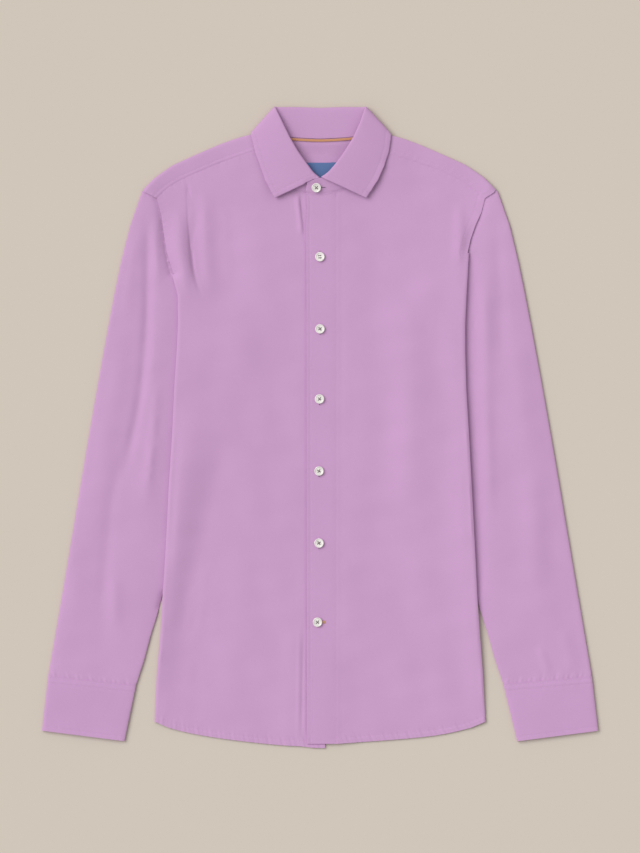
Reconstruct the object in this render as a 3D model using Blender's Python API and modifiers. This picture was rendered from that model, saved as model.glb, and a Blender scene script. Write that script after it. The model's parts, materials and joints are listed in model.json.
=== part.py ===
"""Long-sleeve button-through shirt, buttoned up and laid flat with its face up.

The shirt lies on the XY plane: +Y runs from hem to collar, +X to the wearer's left
and +Z up from the surface. Each piece that is cut and sewn is one named object, a
sheet with a real wall. Every size is in millimetres, and build_sheet, build_button
and their like turn it into metres at the end.

A point of either half is written as (out, y): its distance from the centre line and
its height towards the collar. Half.place puts it on its own side.
"""

import bisect
import math
from collections import namedtuple

import bmesh
import bpy
from mathutils import Matrix, Vector

MM = 0.001

# ---------------------------------------------------------------- driving sizes
CLOTH = 1.0                 # wall of the shirt cloth
DOUBLE = 1.6                # wall of two plies: collar, stand, cuffs, placket
TRIM = 0.8                  # wall of the neck tape and the label
SEAM_GAP = 0.3              # room between two pieces at a seam, and between layers
BEVEL_GAP = 0.5             # room at a seam whose two walls meet at an angle

FLOOR_LEVEL = CLOTH / 2     # middle of a cloth wall that lies on the surface
FRONT_LEVEL = 1.8           # middle of the front where it lies on the back
PLACKET_LEVEL = 3.4         # middle of the placket, above the edge of the under front
HIDDEN_SLEEVE_LEVEL = 2.2   # middle of the sleeve's upper layer under the body
OPEN_SLEEVE_LEVEL = 3.9     # the same where the sleeve lies free
RETURN_LIFT = 3.25          # how far the sleeve below lifts the cloth turned under
FRONT_LIFT = 4.0            # how far both lift the side of the front
RETURN_STEP = 7.0           # width of the step down beside the hidden sleeve
RETURN_MARGIN = 2.0         # the step begins this far past the sleeve's fold
NECK_LIFT = 2.3             # how far the collar leaf below lifts the yoke
FRONT_NECK_LIFT = 3.4       # how far the layers below lift the front round the neck
SHOULDER_LIFT = 1.8         # fullness of the front below the shoulder fold
CUFF_LEVEL = 4.0            # middle of a cuff's upper layer at its folds
CUFF_CROWN = 0.5            # its fullness halfway across
PLACKET_RIPPLE = 0.25       # fullness of the placket between two buttons

PLACKET_LEFT = 19.9         # placket edge on the wearer's left
UNDER_EDGE = -6.6           # edge of the under front, past the centre line
PLACKET_HEM = -381.8
BACK_HEM_CENTRE = -380.0
BACK_HEM_RISE = 35.0
YOKE_BACK_SEAM = 240.0
SIDE_SEAM_HEM = (149.0, -345.0)
UNDERARM = (94.0, 114.6)
SLEEVE_UNDERARM = (102.0, 112.0)
SHOULDER_TIP = (211.5, 283.5)
YOKE_BACK_CORNER = (188.0, 240.0)
YOKE_FOLD_WAY = Vector((0.42, 0.91)).normalized()       # across the shoulder fold
YOKE_NECK_SPREAD = 0.94                                 # back seam over neckline

# Zones where a lift fades in: where it begins and where it is full.
NECK_ZONE_Y = (277.0, 321.0)
NECK_ZONE_OUT = (118.0, 82.0)
SHOULDER_ZONE_DEPTH = (34.0, 0.0)       # below the shoulder fold
SHOULDER_ZONE_OUT = (84.0, 108.0)
SLEEVE_ZONE = (-45.0, -5.0)             # out from the hidden sleeve's fold
SIDE_ZONE = (30.0, 0.0)                 # in from the folded side edge
RIDGE_ZONE = (0.0, 12.0)                # beside the placket
PLACKET_ZONE = (31.0, 1.0)              # beside the placket
FREE_SLEEVE_ZONE = (1.0, 19.0)          # out from the body's edge
CAP_ZONE_Y = (225.0, 270.0)
CAP_LIFT = 1.3                          # of the sleeve below the shoulder
LEAF_ZONE_Y = (-10.0, -2.0)             # up from the hidden edge of the collar leaf
LEAF_ZONE_OUT = (96.0, 88.0)

ROLL_ANGLES = (60.0, 120.0, 180.0)      # steps round a folded edge, in degrees
CREST_ANGLES = (-90.0, -45.0, 0.0, 45.0, 90.0)
ARMHOLE_ROWS = 4
BACK_ARMHOLE_ROWS = 5
BACK_SIDE_ROWS = 6
BACK_COLUMNS = 10
HIDDEN_COLUMNS = 4
TUCK_SHARES = (0.42, 0.75)              # places along the armhole under the side
SLEEVE_ROWS = 14
CUFF_ROWS = 2
CUFF_COLUMNS = 5
PLACKET_COLUMNS = 3
PLACKET_ROWS = 28
YOKE_BACK_SHARES = (0.0, 0.35, 0.65, 0.85, 0.93, 1.0)       # rows from seam to fold
YOKE_FLAP_SHARES = (0.5, 1.0)                               # rows from fold to front seam
YOKE_NECK_RINGS = (8.0, 8.5, 9.0, 9.5, 10.0)                # columns along the back neck

BUTTON_DIAMETER = 11.4
BUTTON_HEIGHT = 2.6
BUTTON_DISH = 0.7
BUTTON_HOLE = 1.3
BUTTON_HOLE_SPACING = 2.7
BUTTON_SIDES = 16

# ---------------------------------------------------------------- tables
Edge = namedtuple("Edge", "y left right")
Shoulder = namedtuple("Shoulder", "fold_out fold_y seam_out seam_left seam_right back_out")
Under = namedtuple("Under", "y out")
Hem = namedtuple("Hem", "out left right")
Fold = namedtuple("Fold", "out_a y_a out_b y_b height spread")
Ring = namedtuple("Ring", "crest_y crest_left crest_right crest_z lap edge_y edge_left "
                          "edge_right edge_z neck_out neck_y turn drop steps")
End = namedtuple("End", "neck_out neck_y neck_z top_out top_y top_z")

# Edge of the front from hem to yoke: the folded side, then the armhole seam.
FRONT_EDGE = (
    Edge(-355.8, 199.2, 198.0),
    Edge(-312.0, 197.3, 196.6),
    Edge(-269.0, 194.2, 192.6),
    Edge(-206.0, 189.6, 188.5),
    Edge(-153.0, 187.0, 185.0),
    Edge(-73.0, 182.8, 181.1),
    Edge(-20.0, 180.1, 177.4),
    Edge(30.0, 176.8, 175.4),
    Edge(110.0, 174.8, 170.4),
    Edge(158.0, 176.6, 170.4),
    Edge(183.0, 177.8, 177.6),
    Edge(207.0, 179.3, 182.8),
    Edge(222.0, 180.9, 185.6),
    Edge(238.0, 186.2, 187.8),
    Edge(255.0, 193.9, 190.2),
    Edge(272.0, 198.2, 194.8),
)
# Rows of the front along its folded side, closer where the hidden sleeve's fold comes
# out from under it. The last row, where the armhole turns under, follows from TUCK_HEIGHT.
SIDE_HEIGHTS = (-355.8, -300.0, -252.0, -224.0, -202.0, -182.0, -160.0, -125.0, -70.0, -10.0,
                45.0, 88.0, 122.0, 156.0)
TUCK_HEIGHT = {"left": 207.0, "right": 183.0}
PLACKET_EDGE = ((276.0, -15.8), (245.0, -14.2), (150.0, -13.4), (-382.0, -12.8))     # y, x

# Fullness of the folded side edge, as height over the flat layers.
SIDE_PUFF = (
    Edge(-356.0, 1.2, 1.2),
    Edge(-300.0, 2.2, 1.8),
    Edge(-200.0, 3.4, 2.4),
    Edge(0.0, 4.2, 2.6),
    Edge(150.0, 3.4, 2.0),
    Edge(185.0, 2.0, 0.6),
    Edge(207.0, 0.6, 0.6),
)

# Shoulder from neck to armhole: top fold, front yoke seam and back yoke seam.
SHOULDER = (
    Shoulder(70.8, 352.0, 70.2, 329.8, 332.0, 66.0),
    Shoulder(85.0, 348.4, 83.0, 326.0, 327.4, 80.0),
    Shoulder(100.0, 344.6, 97.0, 321.7, 322.6, 94.0),
    Shoulder(122.0, 336.4, 117.0, 315.2, 315.8, 112.0),
    Shoulder(150.0, 324.2, 143.0, 306.6, 304.8, 134.0),
    Shoulder(176.0, 312.4, 166.0, 296.2, 294.6, 158.0),
    Shoulder(197.0, 298.0, 184.0, 284.6, 284.0, 175.0),
    Shoulder(211.5, 283.5, 198.2, 272.0, 272.0, 188.0),
)

# Where the hidden part of the sleeve begins under the front, from hem to shoulder.
SLEEVE_UNDER = (
    Under(-378.0, 240.0),
    Under(-311.0, 220.2),
    Under(-287.0, 211.8),
    Under(-251.0, 202.2),
    Under(-213.0, 190.0),
    Under(-165.0, 176.5),
    Under(-80.0, 153.0),
    Under(30.0, 125.0),
    Under(112.0, 102.0),
    Under(132.0, 115.0),
    Under(165.0, 146.0),
    Under(207.0, 174.5),
    Under(260.0, 228.0),
)

# Hem of each front, from the centre line out to the side fold.
FRONT_HEM = (
    Hem(-7.0, -381.6, -387.0),
    Hem(8.0, -381.7, -386.6),
    Hem(20.0, -381.8, -385.0),
    Hem(48.0, -379.8, -383.4),
    Hem(100.0, -376.0, -377.8),
    Hem(142.0, -371.4, -371.6),
    Hem(171.0, -365.4, -365.4),
    Hem(191.0, -359.5, -359.4),
    Hem(199.0, -355.9, -355.9),
)

# Outer fold of each sleeve, from the shoulder to the cuff seam.
SLEEVE_OUTER = (
    Edge(281.5, 213.6, 212.6),
    Edge(268.0, 218.6, 217.4),
    Edge(234.6, 229.8, 228.6),
    Edge(198.6, 238.2, 237.6),
    Edge(126.6, 252.6, 252.0),
    Edge(-17.4, 278.6, 277.6),
    Edge(-161.4, 303.0, 301.8),
    Edge(-301.0, 326.8, 325.6),
)
# Corners of each cuff: inner and outer end of its seam, then of its mouth.
CUFF_CORNERS = {
    "left": ((220.2, -310.2), (326.8, -301.1), (236.9, -378.6), (334.4, -366.0)),
    "right": ((220.0, -311.9), (325.6, -300.4), (233.8, -378.5), (333.1, -365.9)),
}
BACK_ARMHOLE = ((188.0, 240.0), (168.0, 196.0), (132.0, 146.0), (94.0, 114.6))

# Soft ridges of the cloth: a run from a to b, its height and its half width.
BODY_FOLDS = {
    "left": (
        Fold(150.0, 268.0, 152.0, 215.0, 1.6, 13.0),
        Fold(104.0, 130.0, 108.0, -60.0, 1.7, 30.0),
        Fold(108.0, -60.0, 158.0, -300.0, 1.5, 28.0),
        Fold(48.0, 215.0, 46.0, -260.0, 1.0, 22.0),
    ),
    "right": (
        Fold(174.0, 252.0, 168.0, 170.0, 2.6, 9.0),
        Fold(142.0, 272.0, 134.0, 170.0, 2.2, 11.0),
        Fold(68.0, 225.0, 84.0, -30.0, 1.5, 34.0),
        Fold(84.0, -30.0, 100.0, -330.0, 1.2, 34.0),
        Fold(146.0, 90.0, 160.0, -110.0, 1.6, 16.0),
        Fold(34.0, -255.0, 32.0, -384.0, 1.2, 7.0),
    ),
}
SLEEVE_FOLDS = {
    "left": (
        Fold(205.0, 190.0, 206.0, 40.0, 1.0, 14.0),
        Fold(236.0, 90.0, 262.0, -200.0, 1.3, 22.0),
        Fold(262.0, -200.0, 292.0, -296.0, 1.2, 18.0),
    ),
    "right": (
        Fold(196.0, 235.0, 188.0, 160.0, 1.4, 8.0),
        Fold(196.0, 110.0, 208.0, -80.0, 2.2, 13.0),
        Fold(232.0, 215.0, 262.0, -20.0, 1.4, 16.0),
        Fold(276.0, -60.0, 300.0, -250.0, 1.5, 20.0),
        Fold(238.0, -170.0, 244.0, -262.0, 1.4, 13.0),
    ),
}

# Rings round the collar, from the front end to the middle of the back. The crest is the
# top fold, lap is how much lower it lies on the right half, below the buttoned end, and
# the edge is the free edge of the leaf. The neck is where the stand is sewn to the body.
# Turn is 0 where the leaf faces up, 90 on edge at the side and 180 facing down. Drop is
# the way from the crest down to the seam of leaf and stand.
COLLAR_RINGS = (
    Ring(297.8, 1.6, 0.0, 10.0, 1.8, 272.6, 56.0, 53.4, 8.2, 2.0, 276.1, 0.0, 3.0, 1),
    Ring(302.8, 9.4, 6.4, 10.6, 1.6, 281.0, 61.8, 58.8, 8.0, 14.0, 277.4, 0.0, 4.0, 1),
    Ring(314.0, 19.2, 14.8, 11.4, 0.8, 295.0, 71.0, 65.8, 7.8, 28.0, 281.4, 0.0, 5.0, 1),
    Ring(328.0, 29.4, 24.9, 12.0, 0.0, 312.0, 78.2, 71.8, 7.8, 43.0, 289.4, 0.0, 6.0, 1),
    Ring(345.0, 39.9, 34.8, 12.0, 0.0, 328.0, 83.4, 77.6, 7.8, 56.0, 301.0, 0.0, 7.0, 1),
    Ring(363.0, 48.2, 43.6, 11.4, 0.0, 340.0, 85.4, 80.2, 7.8, 64.5, 315.5, 0.0, 7.0, 1),
    Ring(377.5, 53.2, 50.6, 9.8, 0.0, 347.4, 85.6, 82.2, 7.4, 68.4, 332.0, 10.0, 7.0, 3),
    Ring(381.8, 54.2, 52.4, 6.6, 0.0, 350.6, 84.4, 82.0, 4.1, 69.2, 352.0, 90.0, 7.0, 3),
    Ring(381.8, 49.6, 48.2, 3.6, 0.0, 350.2, 78.6, 77.0, 1.05, 60.0, 349.4, 170.0, 7.0, 2),
    Ring(382.2, 28.0, 28.0, 2.9, 0.0, 342.4, 44.0, 44.0, 0.95, 34.0, 345.2, 180.0, 7.0, 2),
    Ring(381.2, 0.0, 0.0, 2.6, 0.0, 338.0, 0.0, 0.0, 0.95, 0.0, 343.3, 180.0, 7.0, 1),
)
SIDE_RING = 7.0             # ring on the shoulder fold, where the collar is on edge
FLAP_RING = 6.0             # ring at the inner end of the front yoke seam
HIDDEN_RING = 8             # first ring under the shirt
CREST_ROLL = 1.6            # radius of the collar's top fold
SIDE_ROLL = 1.25            # the same where the collar turns on edge at the side
FRONT_END_ROLL = {"left": 1.6, "right": 2.4}
LEAF_SWELL = 0.8
LEAF_SHARES = (0.3, 0.65, 1.0)
STAND_ROWS = 3
STAND_SHOULDER = 1.4        # the stand runs this far in line with the leaf below its seam

# Ends of the stand past the front end of the leaf: the left laps over, the right under.
STAND_ENDS = {
    "left": (
        End(-7.0, 276.8, 4.2, -6.5, 296.6, 8.7),
        End(-17.6, 277.4, 4.4, -14.8, 294.2, 8.4),
    ),
    "right": (
        End(-5.0, 276.6, 2.1, -4.0, 293.0, 4.9),
        End(-12.0, 277.0, 2.1, -10.5, 289.0, 4.1),
    ),
}

LABEL_WIDTH = 55.0
LABEL_TOP = 315.8
LABEL_HEIGHT = 28.0
TAPE_WIDTH = 4.4
TAPE_END_RING = 8.4

Fastener = namedtuple("Fastener", "name x y")
PLACKET_BUTTONS = (
    Fastener("button_2", 0.5, 202.3),
    Fastener("button_3", 0.6, 115.8),
    Fastener("button_4", 0.0, 31.8),
    Fastener("button_5", -0.6, -54.6),
    Fastener("button_6", -0.6, -141.0),
    Fastener("button_7", -2.4, -235.8),
)
BUTTON_SPACING = 86.5
STAND_BUTTON = Fastener("button_1", -3.8, 285.4)

Finish = namedtuple("Finish", "name colour roughness")
SHIRT = Finish("shirt_cloth", (0.604, 0.361, 0.597), 0.85)
SHIRT_DOUBLE = Finish("collar_cloth", (0.571, 0.327, 0.571), 0.85)
TAPE = Finish("neck_tape", (0.68, 0.36, 0.16), 0.8)
LABEL = Finish("woven_label", (0.1, 0.18, 0.38), 0.7)
PEARL = Finish("button_pearl", (0.86, 0.83, 0.8), 0.25)


# ---------------------------------------------------------------- numbers and curves
def mix(a, b, share):
    """Value or vector at a share of the way from a to b."""
    return a + (b - a) * share


def smooth(share):
    """Soft step from 0 to 1."""
    share = min(max(share, 0.0), 1.0)
    return share * share * (3.0 - 2.0 * share)


def fade(value, zone):
    """Soft step from 0 where the zone begins to 1 where it is full."""
    return smooth((value - zone[0]) / (zone[1] - zone[0]))


class Profile:
    """Smooth function of one number through (position, value) rows."""

    def __init__(self, rows):
        rows = sorted(rows)
        self.at = [row[0] for row in rows]
        self.value = [row[1] for row in rows]
        self.slope = [self.slope_at(k) for k in range(len(rows))]

    def slope_at(self, k):
        low = max(k - 1, 0)
        high = min(k + 1, len(self.at) - 1)
        return (self.value[high] - self.value[low]) / (self.at[high] - self.at[low])

    def __call__(self, position):
        position = min(max(position, self.at[0]), self.at[-1])
        k = min(max(bisect.bisect_right(self.at, position) - 1, 0), len(self.at) - 2)
        span = self.at[k + 1] - self.at[k]
        s = (position - self.at[k]) / span
        start = (1 + 2 * s) * (1 - s) ** 2 * self.value[k] + s * s * (3 - 2 * s) * self.value[k + 1]
        bend = s * (1 - s) ** 2 * self.slope[k] - s * s * (1 - s) * self.slope[k + 1]
        return start + bend * span


class Path:
    """Smooth curve through flat points, run from 0 to 1 by length."""

    def __init__(self, points):
        lengths = [0.0]
        for a, b in zip(points, points[1:]):
            lengths.append(lengths[-1] + math.dist(a, b))
        at = [length / lengths[-1] for length in lengths]
        self.out = Profile(zip(at, (point[0] for point in points)))
        self.y = Profile(zip(at, (point[1] for point in points)))

    def __call__(self, share):
        return Vector((self.out(share), self.y(share)))

    def steps(self, count):
        return [self(k / count) for k in range(count + 1)]


def line(a, b, count):
    """Evenly spaced flat points on a straight line."""
    return [mix(Vector(a), Vector(b), k / count) for k in range(count + 1)]


def shift(points, distance):
    """Flat points moved sideways, to the left of their direction of travel."""
    moved = []
    for k, point in enumerate(points):
        travel = points[min(k + 1, len(points) - 1)] - points[max(k - 1, 0)]
        moved.append(point + Vector((-travel.y, travel.x)).normalized() * distance)
    return moved


def patch(bottom, top, left, right):
    """Flat grid of points inside four edges that meet at their corners."""
    columns = len(bottom) - 1
    rows = len(left) - 1
    grid = []
    for row in range(rows + 1):
        v = row / rows
        line_points = []
        for column in range(columns + 1):
            u = column / columns
            along = mix(bottom[column], top[column], v)
            across = mix(left[row], right[row], u)
            corners = mix(mix(bottom[0], bottom[-1], u), mix(top[0], top[-1], u), v)
            line_points.append(along + across - corners)
        grid.append(line_points)
    return grid


def ridge(folds, out, y):
    """Height that the folds add at a point."""
    height = 0.0
    for fold in folds:
        a = Vector((fold.out_a, fold.y_a))
        b = Vector((fold.out_b, fold.y_b))
        run = b - a
        share = (Vector((out, y)) - a).dot(run) / run.length_squared
        nearest = mix(a, b, min(max(share, 0.0), 1.0))
        beside = (Vector((out, y)) - nearest).length / fold.spread
        height += fold.height * smooth(1.0 - beside)
    return height


# ---------------------------------------------------------------- one half of the shirt
class Half:
    """The wearer's left (+X) or right (-X) half, with its own outline and levels."""

    def __init__(self, name, sign):
        self.name = name
        self.sign = sign
        self.tuck_y = TUCK_HEIGHT[name]
        self.edge = Profile((row.y, getattr(row, name)) for row in FRONT_EDGE)
        self.puff = Profile((row.y, getattr(row, name)) for row in SIDE_PUFF)
        self.hem = Profile((row.out, getattr(row, name)) for row in FRONT_HEM)
        self.sleeve_outer = Profile((row.y, getattr(row, name)) for row in SLEEVE_OUTER)
        self.shoulder = Profile((row.fold_out, row.fold_y) for row in SHOULDER)
        self.rings = [self.ring(row) for row in COLLAR_RINGS]
        fields = range(len(self.rings[0]))
        self.ring_profiles = [Profile((k, ring[field]) for k, ring in enumerate(self.rings))
                              for field in fields]

    def place(self, out, y, level):
        return Vector((self.sign * out, y, level))

    # ---- collar rings
    def ring(self, row):
        """One ring of the collar as plain numbers for this half."""
        lap = row.lap if self.name == "right" else 0.0
        return (getattr(row, "crest_" + self.name), row.crest_y, row.crest_z - lap,
                getattr(row, "edge_" + self.name), row.edge_y, row.edge_z,
                row.neck_out, row.neck_y, row.turn, row.drop)

    def ring_at(self, station):
        return [profile(station) for profile in self.ring_profiles]

    def neck_point(self, station):
        ring = self.ring_at(station)
        return Vector((ring[6], ring[7]))

    def neck_station(self, out):
        """Station of the front neckline at a distance from the centre line."""
        low, high = 0.0, FLAP_RING
        for _ in range(40):
            middle = (low + high) / 2
            if self.neck_point(middle).x < out:
                low = middle
            else:
                high = middle
        return (low + high) / 2

    # ---- edges shared by pieces
    def side_points(self):
        """Folded side edge, from the hem to where the armhole turns under."""
        return [Vector((self.edge(y), y)) for y in (*SIDE_HEIGHTS, self.tuck_y)]

    def armhole_points(self):
        """Front armhole seam, from the tuck up to the yoke."""
        top = FRONT_EDGE[-1].y
        heights = [mix(self.tuck_y, top, k / ARMHOLE_ROWS) for k in range(ARMHOLE_ROWS + 1)]
        return [Vector((self.edge(y), y)) for y in heights]

    def yoke_seam_points(self):
        """Front yoke seam, from the neck to the armhole."""
        points = [Vector((row.seam_out, getattr(row, "seam_" + self.name))) for row in SHOULDER]
        points[-1] = self.armhole_points()[-1]
        return points

    def hidden_armhole_points(self):
        """Armhole seam under the side of the body, from the tuck to the underarm."""
        tuck = Vector((self.edge(self.tuck_y), self.tuck_y))
        heights = (mix(self.tuck_y, SLEEVE_UNDERARM[1], share) for share in TUCK_SHARES)
        middle = [Vector((self.under(y) + 2 * RETURN_MARGIN, y)) for y in heights]
        return Path([tuck, *middle, Vector(SLEEVE_UNDERARM)]).steps(HIDDEN_COLUMNS)

    # ---- levels of the layers
    def under(self, y):
        return SLEEVE_UNDER_PROFILE(y)

    def under_level(self, out, y):
        """Middle of the yoke where it lies on the surface or on the collar leaf."""
        middle, side = COLLAR_RINGS[-1], COLLAR_RINGS[HIDDEN_RING]
        leaf_edge = mix(middle.edge_y, side.edge_y, (out / side.edge_left) ** 2)
        zone = fade(y - leaf_edge, LEAF_ZONE_Y) * fade(out, LEAF_ZONE_OUT)
        return FLOOR_LEVEL + NECK_LIFT * zone

    def return_level(self, out, y):
        """Middle of the cloth that turns under at the side of the body."""
        past_fold = out - self.under(y) + RETURN_MARGIN + RETURN_STEP
        return FLOOR_LEVEL + RETURN_LIFT * smooth(past_fold / RETURN_STEP)

    def upper_level(self, out, y):
        """Middle of the front and of the yoke's front flap."""
        level = FRONT_LEVEL
        level += FRONT_NECK_LIFT * fade(y, NECK_ZONE_Y) * fade(out, NECK_ZONE_OUT)
        depth = self.shoulder(out) - y
        level += SHOULDER_LIFT * fade(depth, SHOULDER_ZONE_DEPTH) * fade(out, SHOULDER_ZONE_OUT)
        level += FRONT_LIFT * fade(out - self.under(y), SLEEVE_ZONE)
        level += self.puff(y) * fade(self.edge(y) - out, SIDE_ZONE)
        beside = out - PLACKET_LEFT
        level += ridge(BODY_FOLDS[self.name], out, y) * fade(beside, RIDGE_ZONE)
        if self.name == "left":
            level += (PLACKET_LEVEL - FRONT_LEVEL) * fade(beside, PLACKET_ZONE)
        return level

    def sleeve_level(self, out, y):
        """Middle of the sleeve's upper layer."""
        free = fade(out - self.edge(y), FREE_SLEEVE_ZONE)
        level = mix(HIDDEN_SLEEVE_LEVEL, OPEN_SLEEVE_LEVEL, free)
        level += CAP_LIFT * fade(y, CAP_ZONE_Y) * (1.0 - free)
        return level + ridge(SLEEVE_FOLDS[self.name], out, y) * free


SLEEVE_UNDER_PROFILE = Profile((row.y, row.out) for row in SLEEVE_UNDER)
LEFT = Half("left", 1.0)
RIGHT = Half("right", -1.0)
HALVES = (LEFT, RIGHT)


# ---------------------------------------------------------------- mesh helpers
def clear_scene():
    for item in list(bpy.data.objects):
        bpy.data.objects.remove(item, do_unlink=True)


def make_collection(name):
    group = bpy.data.collections.new(name)
    bpy.context.scene.collection.children.link(group)
    return group


def make_material(name, finish):
    material = bpy.data.materials.new(name)
    material.use_nodes = True
    shader = material.node_tree.nodes["Principled BSDF"]
    shader.inputs["Base Color"].default_value = (*finish.colour, 1.0)
    shader.inputs["Roughness"].default_value = finish.roughness
    shader.inputs["Metallic"].default_value = 0.0
    return material


def add_object(name, shape, finish, group):
    mesh = bpy.data.meshes.new(name)
    shape.to_mesh(mesh)
    shape.free()
    item = bpy.data.objects.new(name, mesh)
    group.objects.link(item)
    mesh.materials.append(make_material(name, finish))
    return item


def build_sheet(name, points, wall, finish, group, dropped=None, closed=False, even=True):
    """Cloth sheet through the middle points of its wall, a list of rows.

    dropped(column, row) says which faces of the grid are cut away, and closed joins
    the last column to the first one, as on a tube. even keeps the wall's thickness
    round sharp turns.
    """
    columns = len(points[0]) - 1
    rows = len(points) - 1
    shape = bmesh.new()
    bmesh.ops.create_grid(shape, x_segments=columns, y_segments=rows, size=0.5)
    if dropped:
        cut = []
        for face in shape.faces:
            middle = face.calc_center_median()
            column = int((middle.x + 0.5) * columns)
            row = int((middle.y + 0.5) * rows)
            if dropped(column, row):
                cut.append(face)
        bmesh.ops.delete(shape, geom=cut, context="FACES")
    for vertex in shape.verts:
        column = round((vertex.co.x + 0.5) * columns)
        row = round((vertex.co.y + 0.5) * rows)
        vertex.co = points[row][column] * MM
    if closed:
        bmesh.ops.remove_doubles(shape, verts=shape.verts, dist=0.01 * MM)
    item = add_object(name, shape, finish, group)
    solid = item.modifiers.new("wall", "SOLIDIFY")
    solid.thickness = wall * MM
    solid.offset = 0.0
    solid.use_even_offset = even
    item.data.shade_smooth()
    return item


# ---------------------------------------------------------------- body
def build_back(group):
    """Back panel: hem, side seams, back armholes and the yoke seam."""
    right_edge = line(SIDE_SEAM_HEM, UNDERARM, BACK_SIDE_ROWS)
    right_edge += Path(BACK_ARMHOLE).steps(BACK_ARMHOLE_ROWS)[::-1][1:]
    left_edge = [Vector((-point.x, point.y)) for point in right_edge]
    half_hem = SIDE_SEAM_HEM[0]
    hem = []
    for point in line((-half_hem, 0.0), (half_hem, 0.0), BACK_COLUMNS):
        rise = BACK_HEM_RISE * (point.x / half_hem) ** 2
        hem.append(Vector((point.x, BACK_HEM_CENTRE + rise)))
    top = line((-YOKE_BACK_CORNER[0], YOKE_BACK_SEAM), YOKE_BACK_CORNER, BACK_COLUMNS)
    grid = patch(hem, top, left_edge, right_edge)
    points = [[Vector((*point, FLOOR_LEVEL)) for point in row] for row in grid]
    build_sheet("back", points, CLOTH, SHIRT, group)


def yoke_column(half, row, seam):
    """Wrap of the yoke over the shoulder: back layer, rolled fold and front flap."""
    fold = Vector((row.fold_out, row.fold_y))
    upper = half.upper_level(fold.x, fold.y)
    under = half.under_level(fold.x, fold.y)
    roll = (upper - under) / 2
    base = fold - YOKE_FOLD_WAY * (roll + CLOTH / 2)
    column = []
    start = Vector((row.back_out, YOKE_BACK_SEAM + SEAM_GAP))
    for share in YOKE_BACK_SHARES:
        point = mix(start, base, share)
        column.append(half.place(*point, half.under_level(*point)))
    column[-1].z = under
    for angle in ROLL_ANGLES:
        turn = math.radians(angle)
        point = base + YOKE_FOLD_WAY * roll * math.sin(turn)
        column.append(half.place(*point, under + roll * (1 - math.cos(turn))))
    end = seam + YOKE_FOLD_WAY * SEAM_GAP
    for share in YOKE_FLAP_SHARES:
        point = mix(base, end, share)
        column.append(half.place(*point, half.upper_level(*point)))
    return column


def yoke_neck_column(half, station):
    """Back layer of the yoke below the neckline, with its cut rows stacked on top."""
    neck = half.neck_point(station)
    start = Vector((neck.x * YOKE_NECK_SPREAD, YOKE_BACK_SEAM + SEAM_GAP))
    column = []
    for share in YOKE_BACK_SHARES:
        point = mix(start, neck, share)
        column.append(half.place(*point, half.under_level(*point)))
    cut_rows = len(ROLL_ANGLES) + len(YOKE_FLAP_SHARES)
    return column + [column[-1]] * cut_rows


def build_yoke(group):
    """Yoke in one piece, wrapped over both shoulders to the front yoke seams."""
    wings = []
    for half in HALVES:
        seams = half.yoke_seam_points()
        wings.append([yoke_column(half, row, seam) for row, seam in zip(SHOULDER, seams)])
    neck_left = [yoke_neck_column(LEFT, station) for station in YOKE_NECK_RINGS]
    neck_right = [yoke_neck_column(RIGHT, station) for station in YOKE_NECK_RINGS[:-1]]
    columns = wings[0][::-1] + neck_left + neck_right[::-1] + wings[1]
    first = len(SHOULDER) - 1
    last = len(columns) - len(SHOULDER)
    points = [list(row) for row in zip(*columns)]

    def over_neck(column, row):
        return first <= column < last and row >= len(YOKE_BACK_SHARES) - 1

    build_sheet("yoke", points, CLOTH, SHIRT, group, dropped=over_neck)


def return_grid(half, outer):
    """Flat grid of the cloth turned under, from the side edge to the side seam.

    Its columns close up where the cloth steps down beside the hidden sleeve.
    """
    gap = Vector((BEVEL_GAP, 0.0))
    low, high = outer[0].y, outer[-1].y
    grid = []
    for row, start in enumerate(outer):
        end = mix(Vector(SIDE_SEAM_HEM), Vector(UNDERARM), (start.y - low) / (high - low)) + gap
        run = Path([start, end])
        step = 1.0
        while step > 0.0 and run(step).x < half.under(run(step).y) + RETURN_MARGIN:
            step -= 0.01
        span = (end - start).length
        step = min(max(step, 0.06), 1.0 - (RETURN_STEP + 1.0) / span)
        if row == len(outer) - 1:
            run = Path([start, *half.hidden_armhole_points()[1:-1], end])
            step = 1.0 - (RETURN_STEP + 1.0) / span
        shares = [0.0, step / 2, step]
        shares.append(min(step + 2 * RETURN_MARGIN / span, mix(step, 1.0, 0.4)))
        shares.append(min(step + (2 * RETURN_MARGIN + RETURN_STEP) / span, mix(step, 1.0, 0.8)))
        grid.append([run(share) for share in (*shares, 1.0)])
    return grid


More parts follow.
